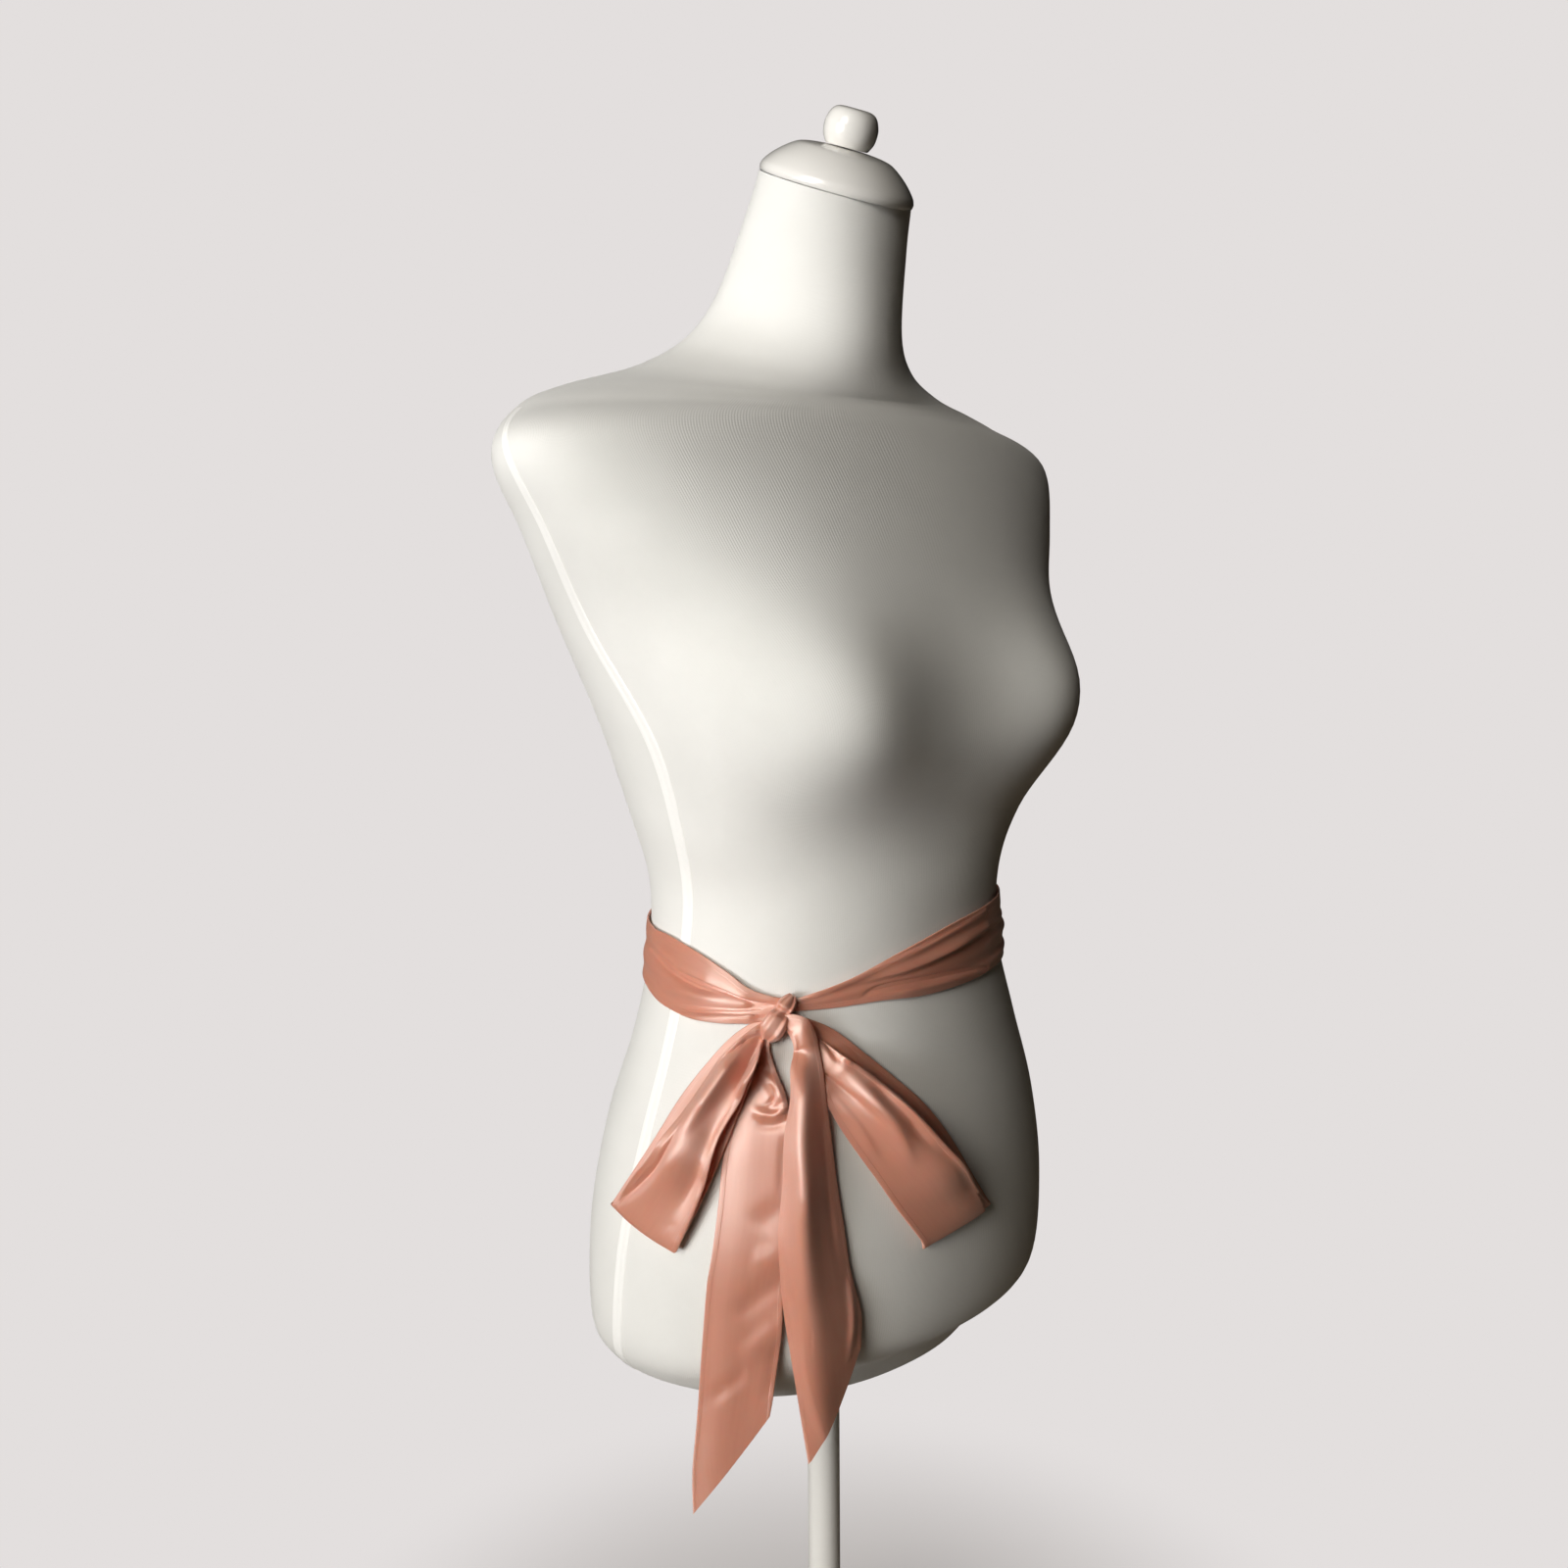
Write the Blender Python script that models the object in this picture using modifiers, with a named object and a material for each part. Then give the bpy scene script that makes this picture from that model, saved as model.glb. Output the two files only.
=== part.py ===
"""Satin sash tied in a bow round the waist of a limbless dress form on a plain round stand.

Metres, +Z up. The origin is under the middle of the base plate, where it stands. The form faces -Y
and its right side is towards -X. A bearing is in degrees from the form's front towards its right.
A height is measured from the form's lower edge, and "out" is the distance from the form's surface.
"""
import bmesh
import bpy
import math
import numpy as np
from collections import namedtuple

STAND_GAP = 0.270          # from the floor to the form's lower edge
BASE_RADIUS = 0.140
BASE_THICK = 0.008
BASE_EDGE = 0.003
POLE_RADIUS = 0.010
FIT_GAP = 0.0003           # between pieces that touch
SHARP_ANGLE = 40.0         # degrees, edges sharper than this stay crisp
MERGE = 0.00005            # joins the turned pieces at their axis

WALL = 0.0010              # double satin, pressed

SQUARENESS = 2.15          # of the form's sections: 2 is an ellipse
HIP_HEIGHT = 0.088         # below it a hanging cloth falls straight
FORM_SIDES = 48
FORM_STEPS = 2             # rings for each row of the form's table

BUST_SIDE = 0.095          # each crest from the middle
BUST_HEIGHT = 0.396
BUST_RISE = 0.0265
BUST_WIDE = 0.055
BUST_ABOVE = 0.046         # how far the rise reaches above and below its crest
BUST_BELOW = 0.0585
BUST_FADE = 3.5            # how soon the rise ends towards the sides

CAP_TILT = 22.5            # degrees, the neck leans forward
CAP_SIDES = 40
BASE_SIDES = 64
POLE_SIDES = 24

# Front and back are from the pole's line, and widest is where the ring is broadest, towards +Y.
Ring = namedtuple("Ring", "height half_width front back widest tilt")
FORM = [
    Ring(0.000, 0.115, 0.071, 0.098, 0.024, 0),
    Ring(0.016, 0.138, 0.082, 0.103, 0.016, 0),
    Ring(0.040, 0.150, 0.108, 0.106, 0.008, 0),
    Ring(0.095, 0.148, 0.115, 0.110, 0.003, 0),
    Ring(0.150, 0.136, 0.113, 0.106, -0.002, 0),
    Ring(0.198, 0.122, 0.103, 0.091, -0.005, 0),
    Ring(0.241, 0.111, 0.095, 0.086, -0.006, 0),
    Ring(0.284, 0.107, 0.096, 0.091, -0.008, 0),
    Ring(0.323, 0.1185, 0.0985, 0.103, -0.015, 0),
    Ring(0.373, 0.1355, 0.1165, 0.114, -0.015, 0),
    Ring(0.432, 0.157, 0.106, 0.116, 0.009, 0),
    Ring(0.484, 0.1835, 0.0865, 0.110, 0.008, 0),
    Ring(0.525, 0.200, 0.0595, 0.102, 0.015, -7),
    Ring(0.550, 0.1715, 0.0475, 0.096, 0.042, 0),
    Ring(0.563, 0.1405, 0.0445, 0.091, 0.040, 5),
    Ring(0.574, 0.097, 0.0465, 0.081, 0.024, 11),
    Ring(0.590, 0.068, 0.049, 0.066, 0.022, 15),
    Ring(0.615, 0.0515, 0.0535, 0.050, 0.019, 19),
    Ring(0.653, 0.0465, 0.0555, 0.032, -0.002, 20),
    Ring(0.6735, 0.044, 0.057, 0.026, -0.017, 22.5),
]

# The turned pieces of the neck, from the axis down the outer side and back to the axis.
# Their heights are along the neck, from its top.
Turn = namedtuple("Turn", "radius height")
CAP = [
    Turn(0.0000, 0.0225),
    Turn(0.0130, 0.0222),
    Turn(0.0240, 0.0208),
    Turn(0.0300, 0.0182),
    Turn(0.0375, 0.0125),
    Turn(0.0430, 0.0065),
    Turn(0.0445, 0.0030),
    Turn(0.0438, 0.0003),
    Turn(0.0000, 0.0003),
]
KNOB = [
    Turn(0.0000, 0.0433),
    Turn(0.0085, 0.0430),
    Turn(0.0125, 0.0408),
    Turn(0.0148, 0.0360),
    Turn(0.0152, 0.0320),
    Turn(0.0146, 0.0275),
    Turn(0.0125, 0.0228),
    Turn(0.0000, 0.0228),
]

# Edge a is the upper or left edge as worn, edge b the other one.
# Belly is the swell between them, highest at crest (0 to 1), and pleats run lengthwise, depth deep.
Section = namedtuple(
    "Section", "bearing_a height_a out_a bearing_b height_b out_b belly crest pleats depth")

BAND = [
    Section(54.2, 0.2340, 0.0016, 57.6, 0.2225, 0.0016, 0.0000, 0.5, 2, 0.0000),
    Section(64.5, 0.2390, 0.0017, 66.0, 0.2220, 0.0017, 0.0003, 0.5, 2, 0.0003),
    Section(73.0, 0.2480, 0.0018, 73.5, 0.2210, 0.0017, 0.0006, 0.5, 2, 0.0006),
    Section(83.0, 0.2570, 0.0019, 83.5, 0.2212, 0.0017, 0.0008, 0.5, 2, 0.0007),
    Section(96.0, 0.2640, 0.0019, 96.0, 0.2240, 0.0017, 0.0008, 0.5, 2, 0.0007),
    Section(110.0, 0.2685, 0.0019, 110.0, 0.2300, 0.0017, 0.0008, 0.5, 2, 0.0006),
    Section(132.0, 0.2715, 0.0019, 132.0, 0.2330, 0.0017, 0.0006, 0.5, 2, 0.0005),
    Section(156.0, 0.2735, 0.0019, 156.0, 0.2350, 0.0017, 0.0005, 0.5, 2, 0.0005),
    Section(180.0, 0.2745, 0.0019, 180.0, 0.2360, 0.0017, 0.0005, 0.5, 2, 0.0005),
    Section(204.0, 0.2750, 0.0019, 204.0, 0.2360, 0.0017, 0.0005, 0.5, 2, 0.0005),
    Section(228.0, 0.2750, 0.0019, 228.0, 0.2360, 0.0017, 0.0006, 0.5, 2, 0.0005),
    Section(252.0, 0.2745, 0.0019, 252.0, 0.2355, 0.0017, 0.0006, 0.5, 2, 0.0005),
    Section(276.0, 0.2735, 0.0019, 276.0, 0.2345, 0.0017, 0.0006, 0.5, 2, 0.0006),
    Section(300.0, 0.2725, 0.0019, 300.0, 0.2335, 0.0017, 0.0008, 0.5, 2, 0.0006),
    Section(321.0, 0.2713, 0.0019, 321.0, 0.2325, 0.0017, 0.0008, 0.5, 2, 0.0007),
    Section(337.0, 0.2695, 0.0019, 337.0, 0.2315, 0.0017, 0.0008, 0.5, 2, 0.0007),
    Section(353.0, 0.2660, 0.0019, 353.0, 0.2305, 0.0017, 0.0008, 0.5, 2, 0.0007),
    Section(370.0, 0.2593, 0.0018, 370.0, 0.2300, 0.0017, 0.0008, 0.5, 2, 0.0006),
    Section(386.0, 0.2508, 0.0018, 386.0, 0.2312, 0.0017, 0.0005, 0.5, 2, 0.0004),
    Section(400.5, 0.2420, 0.0017, 401.0, 0.2300, 0.0016, 0.0002, 0.5, 2, 0.0002),
    Section(414.2, 0.2340, 0.0016, 415.8, 0.2290, 0.0016, 0.0000, 0.5, 2, 0.0000),
]

LOOP_LEFT = [
    Section(61.0, 0.223, 0.0044, 60.0, 0.218, 0.0044, 0.0000, 0.5, 0, 0.0000),
    Section(64.5, 0.221, 0.0044, 61.0, 0.213, 0.0048, 0.0000, 0.5, 1, 0.0002),
    Section(71.0, 0.209, 0.0036, 62.0, 0.199, 0.0050, 0.0003, 0.5, 1, 0.0003),
    Section(79.5, 0.183, 0.0026, 64.5, 0.176, 0.0048, 0.0004, 0.5, 1, 0.0003),
    Section(85.5, 0.155, 0.0024, 67.0, 0.154, 0.0040, 0.0003, 0.5, 1, 0.0003),
    Section(91.5, 0.128, 0.0024, 70.5, 0.126, 0.0034, 0.0002, 0.5, 1, 0.0002),
    Section(94.0, 0.116, 0.0029, 73.5, 0.106, 0.0036, 0.0000, 0.5, 1, 0.0000),
    Section(94.0, 0.114, 0.0047, 74.0, 0.102, 0.0056, 0.0000, 0.5, 1, 0.0000),
    Section(91.5, 0.117, 0.0065, 73.0, 0.105, 0.0076, 0.0004, 0.5, 1, 0.0002),
    Section(86.0, 0.132, 0.0080, 70.5, 0.123, 0.0100, 0.0015, 0.5, 1, 0.0006),
    Section(81.0, 0.148, 0.0090, 68.5, 0.142, 0.0110, 0.0022, 0.5, 1, 0.0010),
    Section(76.5, 0.169, 0.0100, 67.0, 0.164, 0.0120, 0.0025, 0.4, 1, 0.0013),
    Section(71.0, 0.197, 0.0105, 63.0, 0.187, 0.0120, 0.0022, 0.4, 1, 0.0014),
    Section(66.5, 0.211, 0.0100, 60.5, 0.204, 0.0108, 0.0012, 0.4, 1, 0.0007),
    Section(63.0, 0.219, 0.0090, 60.5, 0.214, 0.0092, 0.0003, 0.5, 1, 0.0002),
    Section(60.5, 0.223, 0.0084, 59.5, 0.218, 0.0084, 0.0000, 0.5, 0, 0.0000),
]

LOOP_RIGHT = [
    Section(54.5, 0.227, 0.0038, 55.0, 0.221, 0.0038, 0.0000, 0.5, 0, 0.0000),
    Section(50.0, 0.225, 0.0038, 50.5, 0.216, 0.0036, 0.0000, 0.5, 1, 0.0001),
    Section(42.0, 0.218, 0.0032, 46.5, 0.203, 0.0030, 0.0003, 0.5, 1, 0.0003),
    Section(32.5, 0.204, 0.0027, 43.0, 0.187, 0.0025, 0.0004, 0.5, 1, 0.0004),
    Section(22.5, 0.188, 0.0025, 38.5, 0.170, 0.0024, 0.0004, 0.5, 1, 0.0004),
    Section(13.5, 0.172, 0.0024, 32.5, 0.152, 0.0024, 0.0004, 0.5, 1, 0.0004),
    Section(5.5, 0.152, 0.0024, 26.0, 0.131, 0.0024, 0.0003, 0.5, 1, 0.0003),
    Section(-1.5, 0.130, 0.0026, 19.5, 0.111, 0.0026, 0.0002, 0.5, 1, 0.0002),
    Section(-7.5, 0.112, 0.0031, 16.5, 0.101, 0.0033, 0.0000, 0.5, 1, 0.0000),
    Section(-8.5, 0.108, 0.0049, 16.5, 0.097, 0.0051, 0.0000, 0.5, 1, 0.0000),
    Section(-5.0, 0.113, 0.0067, 17.5, 0.102, 0.0069, 0.0004, 0.5, 1, 0.0002),
    Section(6.0, 0.136, 0.0085, 25.0, 0.123, 0.0085, 0.0018, 0.5, 1, 0.0006),
    Section(16.0, 0.155, 0.0100, 31.5, 0.143, 0.0090, 0.0025, 0.5, 1, 0.0010),
    Section(25.5, 0.178, 0.0110, 39.0, 0.165, 0.0090, 0.0025, 0.5, 1, 0.0012),
    Section(34.5, 0.196, 0.0105, 43.5, 0.181, 0.0082, 0.0018, 0.5, 1, 0.0009),
    Section(40.5, 0.205, 0.0084, 45.5, 0.195, 0.0070, 0.0008, 0.5, 1, 0.0004),
    Section(44.0, 0.211, 0.0070, 47.0, 0.205, 0.0062, 0.0003, 0.5, 1, 0.0001),
    Section(48.5, 0.217, 0.0058, 49.5, 0.213, 0.0056, 0.0000, 0.5, 1, 0.0000),
    Section(54.5, 0.225, 0.0056, 55.0, 0.220, 0.0056, 0.0000, 0.5, 0, 0.0000),
]

TAIL_LEFT = [
    Section(60.0, 0.216, 0.0026, 58.0, 0.218, 0.0028, 0.0000, 0.5, 0, 0.0000),
    Section(61.0, 0.209, 0.0024, 59.0, 0.210, 0.0032, 0.0000, 0.5, 1, 0.0000),
    Section(62.5, 0.199, 0.0022, 57.0, 0.199, 0.0038, 0.0006, 0.8, 1, 0.0002),
    Section(64.5, 0.186, 0.0021, 54.0, 0.186, 0.0038, 0.0010, 0.8, 1, 0.0003),
    Section(66.0, 0.171, 0.0021, 52.5, 0.175, 0.0028, 0.0004, 0.6, 1, 0.0004),
    Section(66.5, 0.151, 0.0022, 51.0, 0.157, 0.0024, 0.0002, 0.5, 1, 0.0004),
    Section(66.0, 0.129, 0.0022, 50.0, 0.132, 0.0022, 0.0005, 0.5, 1, 0.0003),
    Section(66.0, 0.103, 0.0024, 50.0, 0.107, 0.0024, 0.0008, 0.5, 1, 0.0004),
    Section(67.0, 0.073, 0.0028, 51.0, 0.080, 0.0026, 0.0010, 0.5, 1, 0.0006),
    Section(68.0, 0.042, 0.0034, 51.5, 0.058, 0.0030, 0.0010, 0.5, 1, 0.0008),
    Section(69.0, 0.009, 0.0040, 53.0, 0.031, 0.0036, 0.0010, 0.5, 1, 0.0008),
    Section(70.0, -0.019, 0.0048, 53.5, 0.022, 0.0042, 0.0008, 0.5, 1, 0.0006),
    Section(70.0, -0.044, 0.0050, 54.0, 0.015, 0.0044, 0.0005, 0.5, 1, 0.0004),
]

TAIL_RIGHT = [
    Section(55.5, 0.221, 0.0084, 55.5, 0.227, 0.0095, 0.0000, 0.5, 0, 0.0000),
    Section(54.5, 0.219, 0.0088, 52.5, 0.227, 0.0110, 0.0008, 0.5, 0, 0.0000),
    Section(53.0, 0.214, 0.0090, 49.5, 0.224, 0.0125, 0.0020, 0.5, 0, 0.0000),
    Section(52.5, 0.210, 0.0088, 47.5, 0.216, 0.0122, 0.0024, 0.5, 0, 0.0000),
    Section(52.5, 0.206, 0.0082, 46.5, 0.208, 0.0110, 0.0024, 0.5, 0, 0.0000),
    Section(53.0, 0.199, 0.0074, 45.5, 0.198, 0.0100, 0.0030, 0.45, 0, 0.0000),
    Section(52.5, 0.184, 0.0064, 44.5, 0.184, 0.0098, 0.0042, 0.45, 0, 0.0000),
    Section(53.0, 0.165, 0.0056, 42.5, 0.165, 0.0060, 0.0062, 0.42, 0, 0.0000),
    Section(52.5, 0.143, 0.0052, 40.5, 0.142, 0.0034, 0.0080, 0.42, 0, 0.0000),
    Section(52.5, 0.116, 0.0052, 38.0, 0.115, 0.0030, 0.0085, 0.42, 0, 0.0000),
    Section(51.5, 0.095, 0.0055, 36.0, 0.092, 0.0030, 0.0085, 0.42, 0, 0.0000),
    Section(50.5, 0.071, 0.0062, 33.5, 0.069, 0.0034, 0.0080, 0.42, 0, 0.0000),
    Section(49.0, 0.044, 0.0066, 33.5, 0.053, 0.0040, 0.0065, 0.42, 0, 0.0000),
    Section(46.0, -0.010, 0.0066, 33.5, 0.049, 0.0045, 0.0045, 0.42, 0, 0.0000),
]

# The wrap over the knot runs from its upper right to its lower left.
Wrap = namedtuple("Wrap", "bearing height half_width crown foot")
KNOT = [
    Wrap(53.6, 0.2375, 0.0020, 0.0060, 0.0024),
    Wrap(54.2, 0.2350, 0.0040, 0.0095, 0.0010),
    Wrap(55.4, 0.2310, 0.0048, 0.0120, 0.0009),
    Wrap(56.7, 0.2260, 0.0058, 0.0135, 0.0009),
    Wrap(57.9, 0.2210, 0.0064, 0.0138, 0.0009),
    Wrap(58.9, 0.2170, 0.0058, 0.0120, 0.0010),
    Wrap(59.6, 0.2140, 0.0030, 0.0085, 0.0026),
]
KNOT_SIDES = 28
KNOT_STEPS = 3
KNOT_RIDGES = 3
KNOT_SQUARENESS = 2.8
KNOT_RIDGE_DEPTH = 0.0005
KNOT_SLOPE = 57.0          # degrees, of the wrap's line from level


def clear_scene():
    for old in list(bpy.data.objects):
        bpy.data.objects.remove(old, do_unlink=True)


def new_collection(name):
    group = bpy.data.collections.new(name)
    bpy.context.scene.collection.children.link(group)
    return group


def material(name, colour, roughness, metallic=0.0):
    made = bpy.data.materials.new(name)
    made.use_nodes = True
    shader = made.node_tree.nodes["Principled BSDF"]
    shader.inputs["Base Color"].default_value = (*colour, 1.0)
    shader.inputs["Roughness"].default_value = roughness
    shader.inputs["Metallic"].default_value = metallic
    made.diffuse_color = (*colour, 1.0)
    return made


def smooth_rows(rows, steps):
    """A Catmull-Rom curve through the rows of a table, with `steps` points a row."""
    table = np.array(rows, float)
    padded = np.vstack([2 * table[0] - table[1], table, 2 * table[-1] - table[-2]])
    places = np.linspace(0, len(table) - 1, (len(table) - 1) * steps + 1)
    start = np.minimum(places.astype(int), len(table) - 2)
    t = (places - start)[:, None]
    p0, p1, p2, p3 = (padded[start + k] for k in range(4))
    return 0.5 * (2 * p1 + (p2 - p0) * t + (2 * p0 - 5 * p1 + 4 * p2 - p3) * t**2
                  + (3 * p1 - p0 - 3 * p2 + p3) * t**3)


PROFILE_STEPS = 40
PROFILE = smooth_rows(FORM, PROFILE_STEPS)


def form_skin(bearing, height):
    """Points on the form at the waist and hip, and straight down below the hip."""
    level = np.maximum(height, HIP_HEIGHT)
    half, front, back, widest = (np.interp(level, PROFILE[:, 0], PROFILE[:, k]) for k in range(1, 5))
    side, ahead = np.sin(np.radians(bearing)), np.cos(np.radians(bearing))
    depth = np.where(ahead > 0, front + widest, back - widest)
    reach = (np.abs(side / half)**SQUARENESS
             + np.abs(ahead / depth)**SQUARENESS)**(-1 / SQUARENESS)
    return np.stack([-reach * side, widest - reach * ahead, height], -1)


SLOPE_TURN = 0.5           # degrees and metres to each side, between which the slope is taken
SLOPE_RISE = 0.002


def on_form(bearing, height, out):
    """Points at a distance out from the form's surface."""
    bearing, height, out = np.broadcast_arrays(bearing, height, out)
    along = form_skin(bearing + SLOPE_TURN, height) - form_skin(bearing - SLOPE_TURN, height)
    up = form_skin(bearing, height + SLOPE_RISE) - form_skin(bearing, height - SLOPE_RISE)
    normal = np.cross(along, up)
    normal /= np.linalg.norm(normal, axis=-1, keepdims=True)
    points = form_skin(bearing, height)
    outward = np.sign(np.sum(normal * points * (1, 1, 0), -1, keepdims=True))
    return points + normal * outward * out[..., None] + (0, 0, STAND_GAP)


def cloth_grid(rows, steps, across):
    """Points of a stretch of sash: one line across it for each section."""
    table = smooth_rows(rows, steps)
    a1, a2, a3, b1, b2, b3, belly, crest, pleats, depth = (table[:, k:k + 1] for k in range(10))
    v = np.linspace(0, 1, across + 1)[None]
    swell = np.sin(math.pi * v**(math.log(0.5) / np.log(crest)))
    wave = np.sin(2 * math.pi * pleats * v) * np.sin(math.pi * v)
    out = a3 + (b3 - a3) * v + belly * swell + depth * wave
    return on_form(a1 + (b1 - a1) * v, a2 + (b2 - a2) * v, out)


def mesh_object(name, vertices, faces, group, finish):
    mesh = bpy.data.meshes.new(name)
    mesh.from_pydata([tuple(map(float, p)) for p in vertices], [], faces)
    mesh.validate()
    mesh.shade_smooth()
    mesh.set_sharp_from_angle(angle=math.radians(SHARP_ANGLE))
    mesh.materials.append(finish)
    thing = bpy.data.objects.new(name, mesh)
    group.objects.link(thing)
    return thing


def cloth(name, rows, group, finish, steps, across):
    """A wall of cloth on the stretch's points."""
    grid = cloth_grid(rows, steps, across)
    count = across + 1
    faces = [(i * count + j, i * count + j + 1, (i + 1) * count + j + 1, (i + 1) * count + j)
             for i in range(len(grid) - 1) for j in range(across)]
    piece = mesh_object(name, grid.reshape(-1, 3), faces, group, finish)
    wall = piece.modifiers.new("wall", "SOLIDIFY")
    wall.thickness = WALL
    wall.offset = 0.0
    return piece


def loft(name, rings, group, finish):
    """A closed solid through rings with the same count of points."""
    sides = len(rings[0])
    faces = [tuple(reversed(range(sides)))]
    for k in range(len(rings) - 1):
        low, high = k * sides, (k + 1) * sides
        for j in range(sides):
            n = (j + 1) % sides
            faces.append((low + j, low + n, high + n, high + j))
    faces.append(tuple((len(rings) - 1) * sides + j for j in range(sides)))
    piece = mesh_object(name, np.concatenate(rings), faces, group, finish)
    shape = bmesh.new()
    shape.from_mesh(piece.data)
    bmesh.ops.recalc_face_normals(shape, faces=shape.faces)
    shape.to_mesh(piece.data)
    shape.free()
    return piece


def form_rings():
    """The form's sections, with the bust raised on the front and the neck leaning forward."""
    angle = np.linspace(0, 2 * math.pi, FORM_SIDES, endpoint=False)
    side, ahead = np.sin(angle), np.cos(angle)
    power = 2 / SQUARENESS
    rings = []
    for height, half, front, back, widest, tilt in smooth_rows(FORM, FORM_STEPS):
        x = -half * np.sign(side) * np.abs(side)**power
        depth = np.where(ahead > 0, front + widest, back - widest)
        y = -depth * np.sign(ahead) * np.abs(ahead)**power
        lift = sum(np.exp(-((x - s * BUST_SIDE) / BUST_WIDE)**2) for s in (-1, 1))
        tall = BUST_ABOVE if height > BUST_HEIGHT else BUST_BELOW
        lift *= BUST_RISE * math.exp(-((height - BUST_HEIGHT) / tall)**2)
        y -= lift * np.clip(BUST_FADE * ahead, 0, 1)
        lean = math.radians(tilt)
        rings.append(np.stack([x, y * math.cos(lean) + widest,
                               height + STAND_GAP + y * math.sin(lean)], -1))
    return rings


def knot_rings(swell=0.0):
    """Rings along the knot's wrap, with three ridges over its outer side."""
    table = smooth_rows(KNOT, KNOT_STEPS)
    angle = np.linspace(0, 2 * math.pi, KNOT_SIDES, endpoint=False)
    slope = math.radians(KNOT_SLOPE)
    rings = []
    for bearing, height, half, crown, foot in table:
        middle, deep = (crown + foot) / 2, (crown - foot) / 2 + swell
        side, rise = np.cos(angle), np.sin(angle)
        ridge = KNOT_RIDGE_DEPTH * np.cos(2 * KNOT_RIDGES * angle) * np.clip(rise, 0, 1)
        offset = (half + swell) * np.sign(side) * np.abs(side)**(2 / KNOT_SQUARENESS)
        out = middle + (deep + ridge) * np.sign(rise) * np.abs(rise)**(2 / KNOT_SQUARENESS)
        reach = np.linalg.norm(form_skin(bearing, height)[:2])
        turn = np.degrees(offset * math.sin(slope) / reach)
        rings.append(on_form(bearing + turn, height + offset * math.cos(slope), out))
    return rings


def turned(name, profile, sides, group, finish):
    """A turned solid: the profile runs down its outer side from the axis back to the axis."""
    mesh = bpy.data.meshes.new(name)
    mesh.from_pydata([(r, 0, z) for r, z in profile], [(k, k + 1) for k in range(len(profile) - 1)], [])
    mesh.materials.append(finish)
    piece = bpy.data.objects.new(name, mesh)
    group.objects.link(piece)
    spin = piece.modifiers.new("spin", "SCREW")
    spin.steps = sides
    spin.render_steps = sides
    spin.use_merge_vertices = True
    spin.merge_threshold = MERGE
    spin.use_smooth_shade = True
    return piece


def trim_at_knot(piece, cutter):
    cut = piece.modifiers.new("at_knot", "BOOLEAN")
    cut.operation = "DIFFERENCE"
    cut.solver = "EXACT"
    cut.object = cutter


clear_scene()
parts = new_collection("satin_sash_on_dress_form")
cutters = new_collection("cutters")
satin = material("peach_satin", (0.78, 0.42, 0.29), 0.38)
jersey = material("white_jersey", (0.82, 0.81, 0.76), 0.90)
gloss_cream = material("gloss_cream", (0.86, 0.84, 0.78), 0.20)
cream_steel = material("cream_painted_steel", (0.80, 0.79, 0.76), 0.45)

band = cloth("sash_band", BAND, parts, satin, steps=3, across=8)
loop_left = cloth("loop_left", LOOP_LEFT, parts, satin, steps=3, across=8)
loop_right = cloth("loop_right", LOOP_RIGHT, parts, satin, steps=2, across=8)
tail_left = cloth("tail_left", TAIL_LEFT, parts, satin, steps=3, across=8)
tail_right = cloth("tail_right", TAIL_RIGHT, parts, satin, steps=3, across=10)
loft("sash_knot", knot_rings(), parts, satin)
knot_room = loft("knot_room", knot_rings(FIT_GAP), cutters, satin)
knot_room.hide_render = True
knot_room.display_type = "WIRE"
for strand in (band, loop_left, loop_right, tail_left, tail_right):
    trim_at_knot(strand, knot_room)

torso = loft("torso", form_rings(), parts, jersey)

neck_top = form_rings()[-1].mean(axis=0)
lean = math.radians(CAP_TILT)
cap = turned("neck_cap", CAP, CAP_SIDES, parts, gloss_cream)
knob = turned("neck_knob", KNOB, CAP_SIDES, parts, gloss_cream)
for top in (cap, knob):
    top.location = neck_top
    top.rotation_euler = (lean, 0, 0)

turned("stand_pole", [(0, STAND_GAP - FIT_GAP), (POLE_RADIUS, STAND_GAP - FIT_GAP),
                      (POLE_RADIUS, BASE_THICK + FIT_GAP), (0, BASE_THICK + FIT_GAP)],
       POLE_SIDES, parts, cream_steel)
turned("base_plate", [(0, BASE_THICK), (BASE_RADIUS - BASE_EDGE, BASE_THICK),
                      (BASE_RADIUS, BASE_THICK - BASE_EDGE), (BASE_RADIUS, 0), (0, 0)],
       BASE_SIDES, parts, cream_steel)
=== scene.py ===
import bpy
import math
import numpy as np
from collections import namedtuple
from mathutils import Matrix, Vector


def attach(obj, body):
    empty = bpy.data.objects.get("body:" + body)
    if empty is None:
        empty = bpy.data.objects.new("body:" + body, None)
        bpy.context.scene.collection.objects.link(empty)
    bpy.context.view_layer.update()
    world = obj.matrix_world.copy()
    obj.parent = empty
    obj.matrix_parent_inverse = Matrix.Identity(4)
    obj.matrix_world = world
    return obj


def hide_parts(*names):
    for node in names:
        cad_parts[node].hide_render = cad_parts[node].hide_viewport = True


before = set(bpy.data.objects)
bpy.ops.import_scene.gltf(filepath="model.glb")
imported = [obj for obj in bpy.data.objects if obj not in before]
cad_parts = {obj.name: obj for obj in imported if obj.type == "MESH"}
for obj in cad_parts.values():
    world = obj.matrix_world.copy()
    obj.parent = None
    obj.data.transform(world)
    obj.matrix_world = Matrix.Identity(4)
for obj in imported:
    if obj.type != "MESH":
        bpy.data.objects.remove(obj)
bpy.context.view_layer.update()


# Camera
# It stands to the right of the form's front, a little above the waist, and looks slightly down.
# Bearings are in degrees from the form's front, -Y, towards its right side, -X.
EYE_BEARING = 43.0
EYE_REACH = 0.920
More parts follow.
